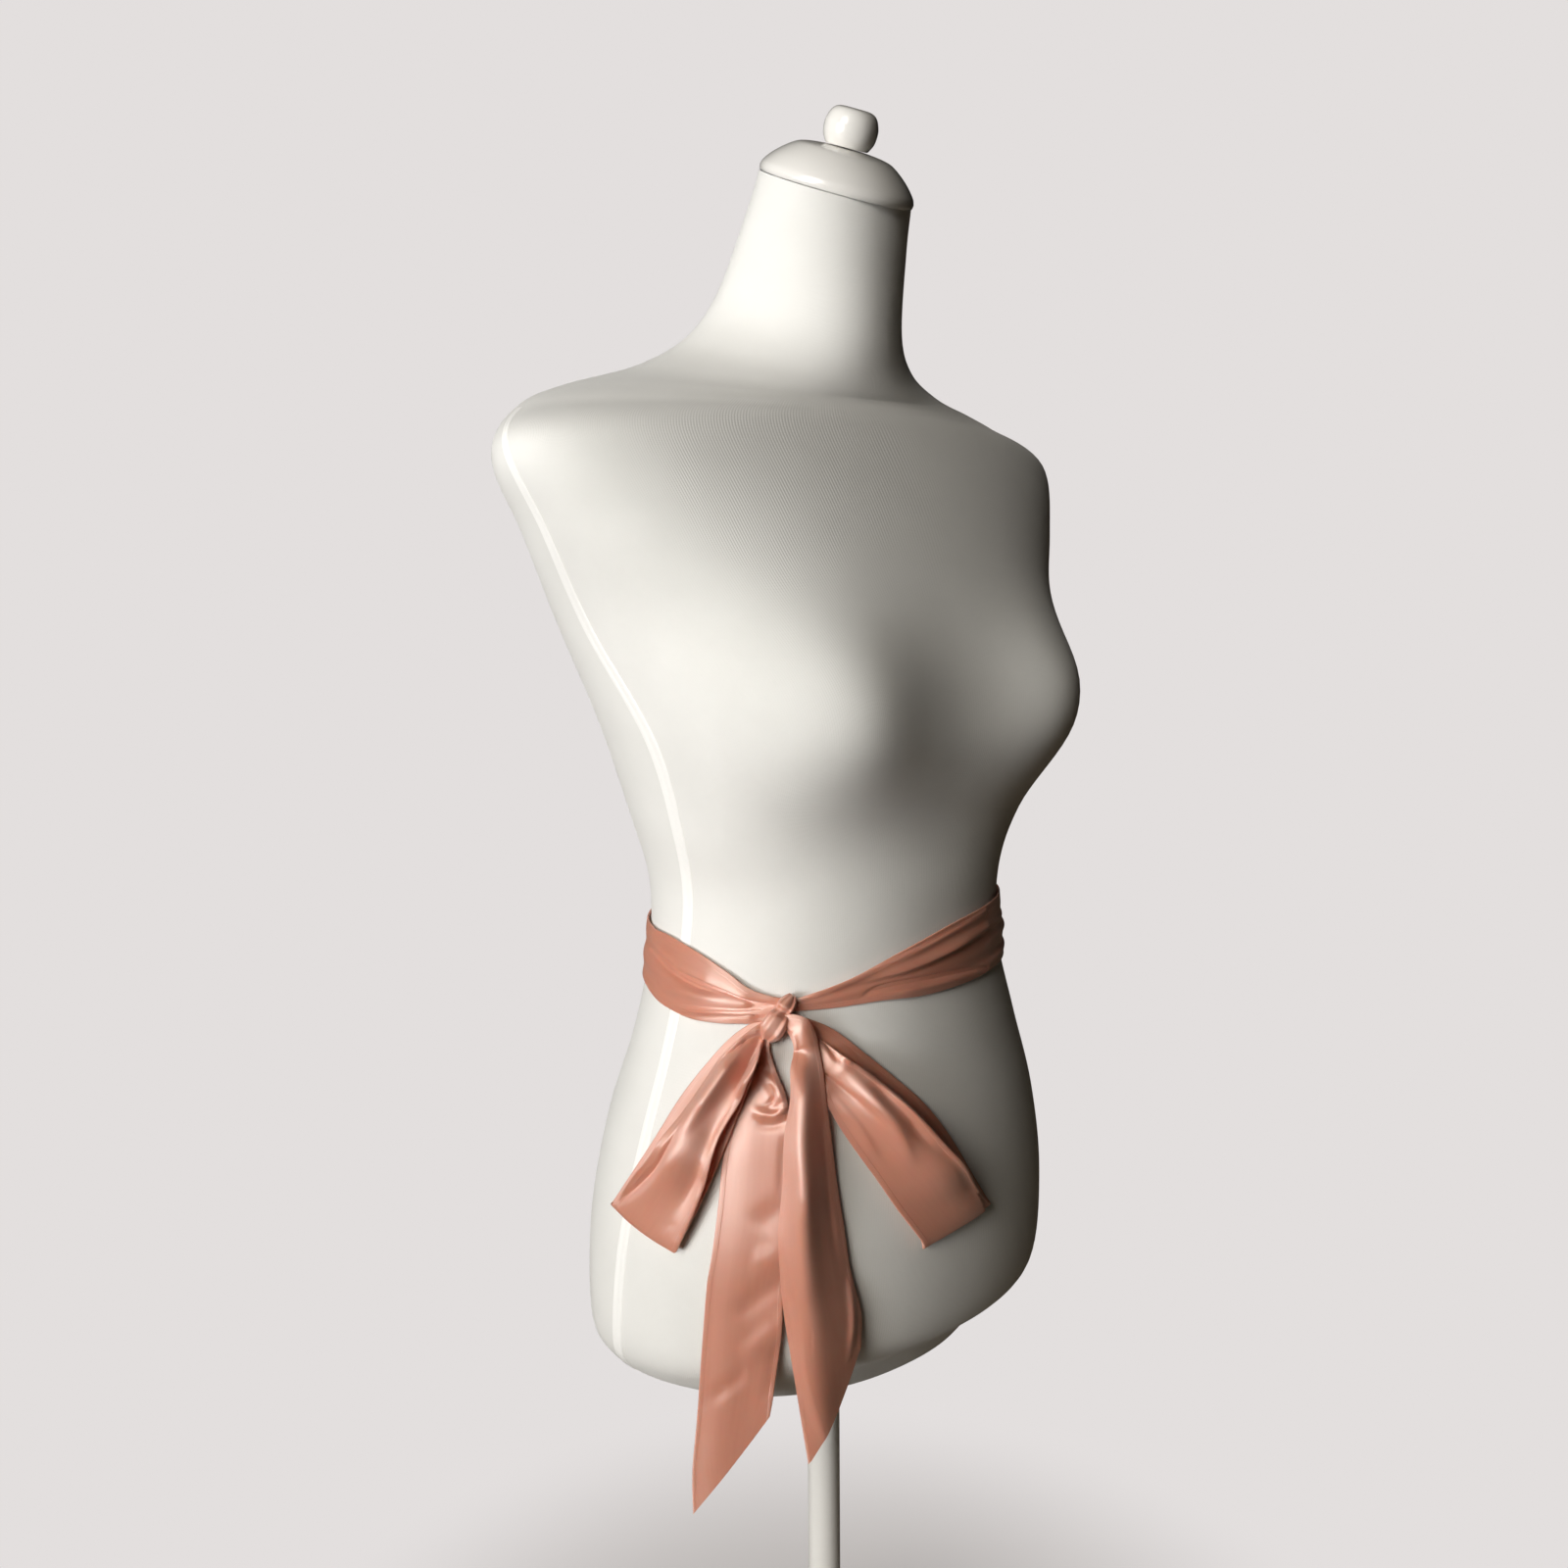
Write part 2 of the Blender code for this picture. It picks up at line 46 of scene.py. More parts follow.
EYE_HEIGHT = 0.722
EYE_TURN = -1.32           # degrees off the form's middle
EYE_DROP = 7.10
EYE_ROLL = -0.51
LENS = 35.8
FILM = 36.0


def toward(bearing):
    """The level direction from the form's middle at a bearing."""
    return Vector((-math.sin(math.radians(bearing)), -math.cos(math.radians(bearing)), 0))


lens = bpy.data.cameras.new("camera")
lens.lens = LENS
lens.sensor_width = FILM
camera = bpy.data.objects.new("camera", lens)
bpy.context.scene.collection.objects.link(camera)
away = toward(EYE_BEARING + EYE_TURN) * math.cos(math.radians(EYE_DROP))
away.z = math.sin(math.radians(EYE_DROP))
level = Vector((0, 0, 1)).cross(away).normalized()
across_view = Matrix.Rotation(math.radians(EYE_ROLL), 3, away) @ level
turned_axes = Matrix((across_view, away.cross(across_view), away)).transposed()
camera.matrix_world = Matrix.Translation(toward(EYE_BEARING) * EYE_REACH + Vector((0, 0, EYE_HEIGHT))
                                         ) @ turned_axes.to_4x4()
bpy.context.scene.camera = camera


# Floor and light
# A pale studio floor that runs out into a plain backdrop of one colour. One large soft window to the
# left of the form is shared out over two heights, a pale wall behind it sends a little light back,
# and hardly any comes from the room.
BACKDROP = (0.768, 0.737, 0.730)
FLOOR_RADIUS = 12.0
FLOOR_SIDES = 128
FLOOR_DROP = 0.0003        # the floor lies this much under the plate
FLOOR_NEAR = 0.12          # the floor takes shadows up to here and is plain backdrop from FLOOR_FAR on
FLOOR_FAR = 0.40
FLOOR_FADED = 0.4          # how far the floor has turned into the backdrop at FLOOR_NEAR
FLOOR_SEEN = (0.86, 0.83, 0.82)
FLOOR_BOUNCE = (0.24, 0.20, 0.15)
ROOM_LIGHT = 0.002
ROOM_COLOUR = (1.0, 0.93, 0.84)

bpy.context.scene.view_settings.view_transform = "Standard"


def node(tree, kind, sockets=(), **settings):
    """Adds a shader node. Its sockets take values, or other nodes' outputs."""
    made = tree.nodes.new("ShaderNode" + kind)
    for name, value in settings.items():
        setattr(made, name, value)
    for name, value in dict(sockets).items():
        if isinstance(value, bpy.types.NodeSocket):
            tree.links.new(value, made.inputs[name])
        else:
            made.inputs[name].default_value = value
    return made.outputs


world = bpy.data.worlds.new("studio")
world.use_nodes = True
bpy.context.scene.world = world
air = world.node_tree
air.nodes.clear()
seen = node(air, "LightPath")["Is Camera Ray"]
dim = node(air, "Background", {"Color": (*ROOM_COLOUR, 1), "Strength": ROOM_LIGHT})[0]
plain = node(air, "Background", {"Color": (*BACKDROP, 1), "Strength": 1.0})[0]
node(air, "OutputWorld", {"Surface": node(air, "MixShader", {0: seen, 1: dim, 2: plain})[0]})

bpy.ops.mesh.primitive_circle_add(vertices=FLOOR_SIDES, radius=FLOOR_RADIUS, fill_type="NGON",
                                  location=(0, 0, -FLOOR_DROP))
floor = bpy.context.object
floor.name = "floor"
pale = bpy.data.materials.new("pale_floor")
pale.use_nodes = True
tree = pale.node_tree
tree.nodes.clear()
spot = node(tree, "TexCoord")["Object"]
reach = node(tree, "VectorMath", {0: spot}, operation="LENGTH")["Value"]
fade = node(tree, "MapRange", {"Value": reach, "From Min": FLOOR_NEAR, "From Max": FLOOR_FAR,
                               "To Min": FLOOR_FADED}, interpolation_type="SMOOTHSTEP")[0]
seen = node(tree, "LightPath")["Is Camera Ray"]
bounced = node(tree, "Mix", {0: seen, 6: (*FLOOR_BOUNCE, 1), 7: (*FLOOR_SEEN, 1)}, data_type="RGBA")[2]
near = node(tree, "BsdfDiffuse", {"Color": bounced})[0]
far = node(tree, "Emission", {"Color": (*BACKDROP, 1)})[0]
part = node(tree, "Math", {0: fade, 1: seen}, operation="MULTIPLY")[0]
node(tree, "OutputMaterial", {"Surface": node(tree, "MixShader", {0: part, 1: near, 2: far})[0]})
floor.data.materials.append(pale)

# Each light is square and aimed at a height on the form's middle line. One that doesn't shine gives
# light and no highlights.
Window = namedtuple("Window", "name bearing reach height size watts colour spread aim shines")
WINDOWS = [
    Window("window_high", 70, 3.81, 2.39, 2.4, 9.8, (1.0, 0.95, 0.88), 38, 0.72, True),
    Window("window_level", 89, 4.20, 0.62, 2.4, 17.5, (0.97, 0.98, 1.0), 38, 0.72, True),
    Window("back_wall", 223, 3.40, 1.30, 1.6, 48.0, (1.0, 0.95, 0.88), 180, 0.62, False),
]
for window in WINDOWS:
    light = bpy.data.lights.new(window.name, "AREA")
    light.shape = "SQUARE"
    light.size = window.size
    light.energy = window.watts
    light.color = window.colour
    light.spread = math.radians(window.spread)
    lamp = bpy.data.objects.new(window.name, light)
    bpy.context.scene.collection.objects.link(lamp)
    lamp.location = toward(window.bearing) * window.reach + Vector((0, 0, window.height))
    beam = lamp.location - Vector((0, 0, window.aim))
    lamp.rotation_euler = beam.to_track_quat("Z", "Y").to_euler()
    lamp.visible_glossy = window.shines


# Stand
# A round steel plate and a steel pole, painted matt cream. The pole is screwed into the plate and
# goes up into the form. Both are plain.
STAND_GAP = 0.270          # from the floor to the form's lower edge
PLATE_RADIUS = 0.140
PLATE_THICK = 0.008
PLATE_ROUND = 0.003
PLATE_BEVEL = 0.0004       # of its lower edge
POLE_RADIUS = 0.010
FIT_GAP = 0.0003
STAND_SIDES = 96
TURNED_SHARP = 38          # degrees, the least angle of a sharp edge on a turned piece
JOIN_REACH = 0.00002       # points this near become one


def finish_of(name, colour, roughness, slot_of):
    """A material with one Principled shader: it, its node tree and its shader."""
    made = bpy.data.materials.new(name)
    made.use_nodes = True
    shader = made.node_tree.nodes["Principled BSDF"]
    shader.inputs["Base Color"].default_value = (*colour, 1)
    shader.inputs["Roughness"].default_value = roughness
    made["slot_of"] = slot_of
    return made, made.node_tree, shader.inputs


def dress(piece, finish, nodes=()):
    """The piece takes its finish, rides on the form's one body and stands for those nodes."""
    piece.data.materials.append(finish)
    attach(piece, "root")
    if nodes:
        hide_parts(*nodes)
    return piece


def turned(name, profile, sides):
    """A turned piece. Its profile runs down the outer side, from the axis back to the axis."""
    mesh = bpy.data.meshes.new(name)
    mesh.from_pydata([(r, 0, z) for r, z in profile], [(k, k + 1) for k in range(len(profile) - 1)], [])
    piece = bpy.data.objects.new(name, mesh)
    bpy.context.scene.collection.objects.link(piece)
    spin = piece.modifiers.new("spin", "SCREW")
    spin.steps = spin.render_steps = sides
    spin.use_merge_vertices = True
    spin.merge_threshold = JOIN_REACH
    depth = bpy.context.evaluated_depsgraph_get()
    done = bpy.data.meshes.new_from_object(piece.evaluated_get(depth))
    piece.modifiers.clear()
    piece.data = done
    done.shade_smooth()
    done.set_sharp_from_angle(angle=math.radians(TURNED_SHARP))
    return piece


def rounded(radius, top, turn, steps=5):
    """Points of a rounded upper edge, from the flat top out and down to the side."""
    return [(radius - turn + turn * math.sin(a), top - turn + turn * math.cos(a))
            for a in np.linspace(0, math.pi / 2, steps + 1)]


paint, tree, sockets = finish_of("cream_paint", (0.80, 0.785, 0.745), 0.42, "cream_painted_steel")
metres = node(tree, "TexCoord")["Object"]
grain = node(tree, "TexNoise", {"Vector": metres, "Scale": 900.0, "Detail": 2.0})["Fac"]
bumps = node(tree, "Bump", {"Height": grain, "Distance": 0.0001, "Strength": 0.25})[0]
tree.links.new(bumps, sockets["Normal"])
plate = turned("base_plate_fine",
               [(0, PLATE_THICK), *rounded(PLATE_RADIUS, PLATE_THICK, PLATE_ROUND),
                (PLATE_RADIUS, PLATE_BEVEL), (PLATE_RADIUS - PLATE_BEVEL, 0), (0, 0)], STAND_SIDES)
dress(plate, paint, ["base_plate"])
pole_top, pole_foot = STAND_GAP - FIT_GAP, PLATE_THICK + FIT_GAP
pole = turned("stand_pole_fine", [(0, pole_top), (POLE_RADIUS, pole_top), (POLE_RADIUS, pole_foot),
                                  (0, pole_foot)], STAND_SIDES)
dress(pole, paint, ["stand_pole"])


# Form
# The limbless body is a hard shell covered with fine white knit. The knit's ribs run up the body,
# and it is closed by one seam down each side, a slightly raised line given a painted highlight.
SQUARENESS = 2.15          # of the form's sections: 2 is an ellipse
FORM_SIDES = 216
FORM_STEPS = 9             # rings for each row of the form's table
BUST_SIDE = 0.095          # each crest from the middle
BUST_HEIGHT = 0.396
BUST_RISE = 0.0265
BUST_WIDE = 0.055
BUST_ABOVE = 0.046         # how far the rise reaches above and below its crest
BUST_BELOW = 0.0585
BUST_FADE = 3.5            # how soon the rise ends towards the sides
RIBS_ROUND = 620           # ribs of the knit, all round
STITCH_HEIGHT = 0.0016
STITCH_RELIEF = 0.12       # of the stitches in the knit's relief, where the ribs are 1
FUZZ_SHARE = 0.9
RIB_TINT = 0.02            # how much lighter the ribs are than the rest
CREASE_SHARP = 50          # degrees, the least angle of a sharp edge on the form and the cloth

# Front and back are from the pole's line, and widest is where the ring is broadest, towards +Y.
Ring = namedtuple("Ring", "height half_width front back widest tilt")
FORM = [
    Ring(0.000, 0.115, 0.071, 0.098, 0.024, 0),
    Ring(0.016, 0.138, 0.082, 0.103, 0.016, 0),
    Ring(0.040, 0.150, 0.108, 0.106, 0.008, 0),
    Ring(0.095, 0.148, 0.115, 0.110, 0.003, 0),
    Ring(0.150, 0.136, 0.113, 0.106, -0.002, 0),
    Ring(0.198, 0.122, 0.103, 0.091, -0.005, 0),
    Ring(0.241, 0.111, 0.095, 0.086, -0.006, 0),
    Ring(0.284, 0.107, 0.096, 0.091, -0.008, 0),
    Ring(0.323, 0.1185, 0.0985, 0.103, -0.015, 0),
    Ring(0.373, 0.1355, 0.1165, 0.114, -0.015, 0),
    Ring(0.432, 0.157, 0.106, 0.116, 0.009, 0),
    Ring(0.484, 0.1835, 0.0865, 0.110, 0.008, 0),
    Ring(0.525, 0.200, 0.0595, 0.102, 0.015, -7),
    Ring(0.550, 0.1715, 0.0475, 0.096, 0.042, 0),
    Ring(0.563, 0.1405, 0.0445, 0.091, 0.040, 5),
    Ring(0.574, 0.097, 0.0465, 0.081, 0.024, 11),
    Ring(0.590, 0.068, 0.049, 0.066, 0.022, 15),
    Ring(0.615, 0.0515, 0.0535, 0.050, 0.019, 19),
    Ring(0.653, 0.0465, 0.0555, 0.032, -0.002, 20),
    Ring(0.6735, 0.044, 0.057, 0.026, -0.017, 22.5),
]


def smooth_rows(rows, steps):
    """A Catmull-Rom curve through the rows of a table, with `steps` points a row."""
    table = np.array(rows, float)
    padded = np.vstack([2 * table[0] - table[1], table, 2 * table[-1] - table[-2]])
    places = np.linspace(0, len(table) - 1, (len(table) - 1) * steps + 1)
    start = np.minimum(places.astype(int), len(table) - 2)
    t = (places - start)[:, None]
    p0, p1, p2, p3 = (padded[start + k] for k in range(4))
    return 0.5 * (2 * p1 + (p2 - p0) * t + (2 * p0 - 5 * p1 + 4 * p2 - p3) * t**2
                  + (3 * p1 - p0 - 3 * p2 + p3) * t**3)


def ring_points(row, angle, out=0.0):
    """Points of one section of the form at angles from its front, moved out from it."""
    height, half, front, back, widest, tilt = row
    side, ahead = np.sin(angle), np.cos(angle)
    power = 2 / SQUARENESS
    x = -half * np.sign(side) * np.abs(side)**power
    depth = np.where(ahead > 0, front + widest, back - widest)
    y = -depth * np.sign(ahead) * np.abs(ahead)**power
    lift = sum(np.exp(-((x - s * BUST_SIDE) / BUST_WIDE)**2) for s in (-1, 1))
    tall = BUST_ABOVE if height > BUST_HEIGHT else BUST_BELOW
    lift *= BUST_RISE * math.exp(-((height - BUST_HEIGHT) / tall)**2)
    y -= lift * np.clip(BUST_FADE * ahead, 0, 1)
    flat = np.stack([x, y], -1)
    flat += out * flat / np.linalg.norm(flat, axis=-1, keepdims=True)
    lean = math.radians(tilt)
    return np.stack([flat[:, 0], flat[:, 1] * math.cos(lean) + widest,
                     height + STAND_GAP + flat[:, 1] * math.sin(lean)], -1)


def mesh_piece(name, points, faces, **maps):
    """A mesh object, smooth but for its sharp edges. Each map gives two numbers for each point."""
    mesh = bpy.data.meshes.new(name)
    mesh.from_pydata([tuple(map(float, p)) for p in points], [], faces)
    mesh.validate()
    mesh.shade_smooth()
    mesh.set_sharp_from_angle(angle=math.radians(CREASE_SHARP))
    corner = np.zeros(len(mesh.loops), np.int32)
    mesh.loops.foreach_get("vertex_index", corner)
    for label, values in maps.items():
        layer = mesh.uv_layers.new(name=label)
        layer.data.foreach_set("uv", np.asarray(values, np.float32)[corner].ravel())
    piece = bpy.data.objects.new(name, mesh)
    bpy.context.scene.collection.objects.link(piece)
    return piece


def grid_faces(rows, columns, closed=False):
    """Faces between the points of a grid, closed where its columns run round."""
    last = columns if closed else columns - 1
    return [(r * columns + c, r * columns + (c + 1) % columns,
             (r + 1) * columns + (c + 1) % columns, (r + 1) * columns + c)
            for r in range(rows - 1) for c in range(last)]


knit, tree, sockets = finish_of("white_knit", (0.80, 0.79, 0.745), 0.85, "white_jersey")
place = node(tree, "UVMap", uv_map="cloth")[0]
spread = node(tree, "SeparateXYZ", {0: place})
ribs, stitches = (
    node(tree, "Math", {0: node(tree, "Math", {0: count, 1: 2 * math.pi}, operation="MULTIPLY")[0]},
         operation="SINE")[0] for count in (spread[0], spread[1]))
loops = node(tree, "Math", {0: stitches, 1: STITCH_RELIEF, 2: ribs}, operation="MULTIPLY_ADD")[0]
metres = node(tree, "TexCoord")["Object"]
fuzz = node(tree, "TexNoise", {"Vector": metres, "Scale": 1100.0, "Detail": 3.0, "Roughness": 0.7})["Fac"]
relief = node(tree, "Math", {0: fuzz, 1: FUZZ_SHARE, 2: loops}, operation="MULTIPLY_ADD")[0]
tree.links.new(node(tree, "Bump", {"Height": relief, "Distance": 0.00012, "Strength": 0.28})[0],
               sockets["Normal"])
patches = node(tree, "TexNoise", {"Vector": metres, "Scale": 22.0, "Detail": 3.0})["Fac"]
tone = node(tree, "Math", {0: loops, 1: RIB_TINT, 2: patches}, operation="MULTIPLY_ADD")[0]
shade = node(tree, "Mix", {0: tone, 6: (0.74, 0.73, 0.69, 1), 7: (0.83, 0.82, 0.78, 1)}, data_type="RGBA")[2]
tree.links.new(shade, sockets["Base Color"])
sockets["Sheen Weight"].default_value = 0.15
sockets["Sheen Roughness"].default_value = 0.4

angle = np.linspace(0, 2 * math.pi, FORM_SIDES + 1)
form_rows = smooth_rows(FORM, FORM_STEPS)
rings = [ring_points(row, angle) for row in form_rows]
columns = FORM_SIDES + 1
points = np.concatenate(rings)
places = np.stack(np.broadcast_arrays(angle[None] / (2 * math.pi) * RIBS_ROUND,
                                      form_rows[:, :1] / STITCH_HEIGHT), -1).reshape(-1, 2)
faces = grid_faces(len(rings), columns)
body = mesh_piece("form", points, faces, cloth=places)
weld = body.modifiers.new("close", "WELD")
weld.merge_threshold = JOIN_REACH
dress(body, knit, ["torso"])


# Side seams
# Each seam of the cover is finished with a flat tape of the same knit, sewn down both its edges. The
# tape's colour is lighter than the knit's, a painted highlight along the seam.
# It runs up the side from the form's lower edge to the shoulder, with a shallow groove down its middle.
SEAM_HALF = 0.0038
SEAM_RISE = 0.0005
SEAM_TOP = 0.548           # above the form's lower edge
Tape = namedtuple("Tape", "across rise")
TAPE = [                   # from edge to edge, as shares of half the width and of the rise
    Tape(-1.00, 0.00),
    Tape(-0.90, 0.80),
    Tape(-0.75, 1.00),
    Tape(-0.12, 0.90),
    Tape(0.00, 0.45),
    Tape(0.12, 0.90),
    Tape(0.75, 1.00),
    Tape(0.90, 0.80),
    Tape(1.00, 0.00),
]
# The tape's pale colour is a painted highlight, lighter than the knit it is made of.
seam_painted_highlight, tree, sockets = finish_of("seam_tape_painted_highlight", (0.93, 0.92, 0.88), 0.6, "white_jersey")
metres = node(tree, "TexCoord")["Object"]
stretch = node(tree, "TexNoise", {"Vector": metres, "Scale": 600.0, "Detail": 2.0})["Fac"]
bumps = node(tree, "Bump", {"Height": stretch, "Distance": 0.0001, "Strength": 0.3})[0]
tree.links.new(bumps, sockets["Normal"])
across, rise = (np.array(values) for values in zip(*TAPE))
for name, bearing in (("seam_right", 90.0), ("seam_left", 270.0)):
    strip = []
    for row in form_rows[form_rows[:, 0] <= SEAM_TOP]:
        girth = (row[1] + (row[2] + row[3]) / 2) / 2
        turns = math.radians(bearing) + across * SEAM_HALF / girth
        line = ring_points(row, turns)
        raised = ring_points(row, turns, SEAM_RISE)
        strip.append(line + (raised - line) * rise[:, None])
    tape = mesh_piece(name, np.concatenate(strip), grid_faces(len(strip), len(TAPE)))
    dress(tape, seam_painted_highlight)


# Neck cap and knob
# Two turned pieces of wood in thick cream lacquer. The cap covers the raw end of the neck, and the
# knob is screwed down on it, so that a fine dark line shows under each.
CAP_TILT = 22.5
NECK_SIDES = 128
Turn = namedtuple("Turn", "radius height")
CAP = [
    Turn(0.0000, 0.0225),
    Turn(0.0130, 0.0222),
    Turn(0.0240, 0.0208),
    Turn(0.0300, 0.0182),
    Turn(0.0375, 0.0125),
    Turn(0.0430, 0.0065),
    Turn(0.0445, 0.0030),
]
KNOB = [
    Turn(0.0000, 0.0433),
    Turn(0.0085, 0.0430),
    Turn(0.0125, 0.0408),
    Turn(0.0148, 0.0360),
    Turn(0.0152, 0.0320),
    Turn(0.0146, 0.0275),
    Turn(0.0125, 0.0235),
]
CAP_FOOT = [Turn(0.0442, 0.0012), Turn(0.0436, 0.0003), Turn(0.0, 0.0003)]
KNOB_FOOT = [Turn(0.0118, 0.0229), Turn(0.0, 0.0229)]
lacquer, tree, sockets = finish_of("cream_lacquer", (0.82, 0.80, 0.755), 0.16, "gloss_cream")
sockets["Coat Weight"].default_value = 0.4
sockets["Coat Roughness"].default_value = 0.08
metres = node(tree, "TexCoord")["Object"]
ripple = node(tree, "TexNoise", {"Vector": metres, "Scale": 60.0, "Detail": 2.0})["Fac"]
bumps = node(tree, "Bump", {"Height": ripple, "Distance": 0.0004, "Strength": 0.12})[0]
tree.links.new(bumps, sockets["Normal"])
smear = node(tree, "MapRange", {"Value": ripple, "To Min": 0.12, "To Max": 0.24})[0]
tree.links.new(smear, sockets["Roughness"])
neck_top = ring_points(FORM[-1], angle[:-1]).mean(axis=0)
for name, profile, foot, stands_for in (("neck_cap_fine", CAP, CAP_FOOT, "neck_cap"),
                                        ("neck_knob_fine", KNOB, KNOB_FOOT, "neck_knob")):
    fine = [(abs(r), z) for r, z in smooth_rows(profile, 6)]
    fitted = turned(name, fine + foot, NECK_SIDES)
    fitted.location = Vector(neck_top)
    fitted.rotation_euler = (math.radians(CAP_TILT), 0, 0)
    dress(fitted, lacquer, [stands_for])


# Sash, its cloth
# One long strip of peach satin, sewn double and pressed flat with its seams in the edges. Its place
# on the form is given by a bearing, a height above the form's lower edge and a distance out.
HIP_HEIGHT = 0.088         # below it a hanging cloth falls straight
SLOPE_TURN = 0.5           # degrees and metres to each side, between which the slope is taken
SLOPE_RISE = 0.002
CLOTH_THICK = 0.0007
EDGE_THICK = 0.0011        # over the seam allowances
EDGE_WIDE = 0.0035
EDGE_TURNS = (0.25, 0.5, 0.75)
HEM_WIDE = 0.0022
HEM_STEP = 0.0005          # the width over which the hem falls off to the cloth
STITCH_IN = 0.0004         # from the hem's inner edge
STITCH_HALF = 0.00022      # half the width of the stitched line
STITCH_LONG = 0.0021
STITCH_SHARE = 0.68        # how much of its length a stitch shows
STITCH_SINK = -0.8         # where the hem's step is 1
THREADS = (5200.0, 260.0, 1.0)     # a metre, across and along the strip
SLUBS = (420.0, 28.0, 1.0)
LOWEST = 0.00135           # how near the wall's middle may sink to the form
FOLD_POINTS = 17           # along a fold's curve
FOLD_FADE = 0.35           # the share of a fold's length over which each end fades
DENSE_FORM = smooth_rows(FORM, 40)


def form_skin(bearing, height):
    """Points on the form at the waist and hip, and straight down below the hip."""
    level = np.maximum(height, HIP_HEIGHT)
    half, front, back, widest = (np.interp(level, DENSE_FORM[:, 0], DENSE_FORM[:, k]) for k in range(1, 5))
    side, ahead = np.sin(np.radians(bearing)), np.cos(np.radians(bearing))
    depth = np.where(ahead > 0, front + widest, back - widest)
    reach = (np.abs(side / half)**SQUARENESS
             + np.abs(ahead / depth)**SQUARENESS)**(-1 / SQUARENESS)
    return np.stack([-reach * side, widest - reach * ahead, height], -1)


def on_form(bearing, height, out):
    """Points at a distance out from the form's surface."""
    bearing, height, out = np.broadcast_arrays(bearing, height, out)
    along = form_skin(bearing + SLOPE_TURN, height) - form_skin(bearing - SLOPE_TURN, height)
    up = form_skin(bearing, height + SLOPE_RISE) - form_skin(bearing, height - SLOPE_RISE)
    normal = np.cross(along, up)
    normal /= np.linalg.norm(normal, axis=-1, keepdims=True)
    points = form_skin(bearing, height)
    outward = np.sign(np.sum(normal * points * (1, 1, 0), -1, keepdims=True))
    return points + normal * outward * out[..., None] + (0, 0, STAND_GAP)


# A fold runs on a curve through three places of the strip, which are metres along it from the knot
# and across it from its middle, towards edge b. It rises, or sinks if negative, and fades over
# `soft` metres on its a side and `crisp` on its b side. `start` and `end` are its strength there.
Fold = namedtuple("Fold", "along_1 across_1 along_2 across_2 along_3 across_3 rise soft crisp start end")


def fold_rise(along, across, folds):
    """What all the folds add to the cloth's distance from the form."""
    total = np.zeros(np.broadcast(along, across).shape)
    t = np.linspace(0, 1, FOLD_POINTS)
    first, middle, last = 2 * (t - 0.5) * (t - 1), 4 * t * (1 - t), 2 * t * (t - 0.5)
    for fold in folds:
        x = fold.along_1 * first + fold.along_2 * middle + fold.along_3 * last
        y = fold.across_1 * first + fold.across_2 * middle + fold.across_3 * last
        nearest = np.full(total.shape, np.inf)
        strength = np.zeros(total.shape)
        for k in range(len(t) - 1):
            run_x, run_y = x[k + 1] - x[k], y[k + 1] - y[k]
            size = math.hypot(run_x, run_y)
            place = ((along - x[k]) * run_x + (across - y[k]) * run_y) / size**2
            held = np.clip(place, 0, 1)
            off = np.hypot(along - x[k] - held * run_x, across - y[k] - held * run_y)
            over = (across - y[k]) * run_x - (along - x[k]) * run_y > 0
            where = t[k] + held * (t[k + 1] - t[k])
            rising = np.clip(where / FOLD_FADE, 0, 1)
            falling = np.clip((1 - where) / FOLD_FADE, 0, 1)
            keep = (fold.start + (1 - fold.start) * rising**2 * (3 - 2 * rising)) * (
                fold.end + (1 - fold.end) * falling**2 * (3 - 2 * falling))
            value = keep * np.exp(-(off / np.where(over, fold.crisp, fold.soft))**2)
            closer = off < nearest
            strength[closer] = value[closer]
            nearest[closer] = off[closer]
        total += fold.rise * strength
    return total


# A section of the strip runs from its edge a to its edge b. Between them it swells by `belly`, most at
# the share `crest` of its width, and has `pleats` waves of a height `depth`.
Section = namedtuple(
    "Section", "bearing_a height_a out_a bearing_b height_b out_b belly crest pleats depth")


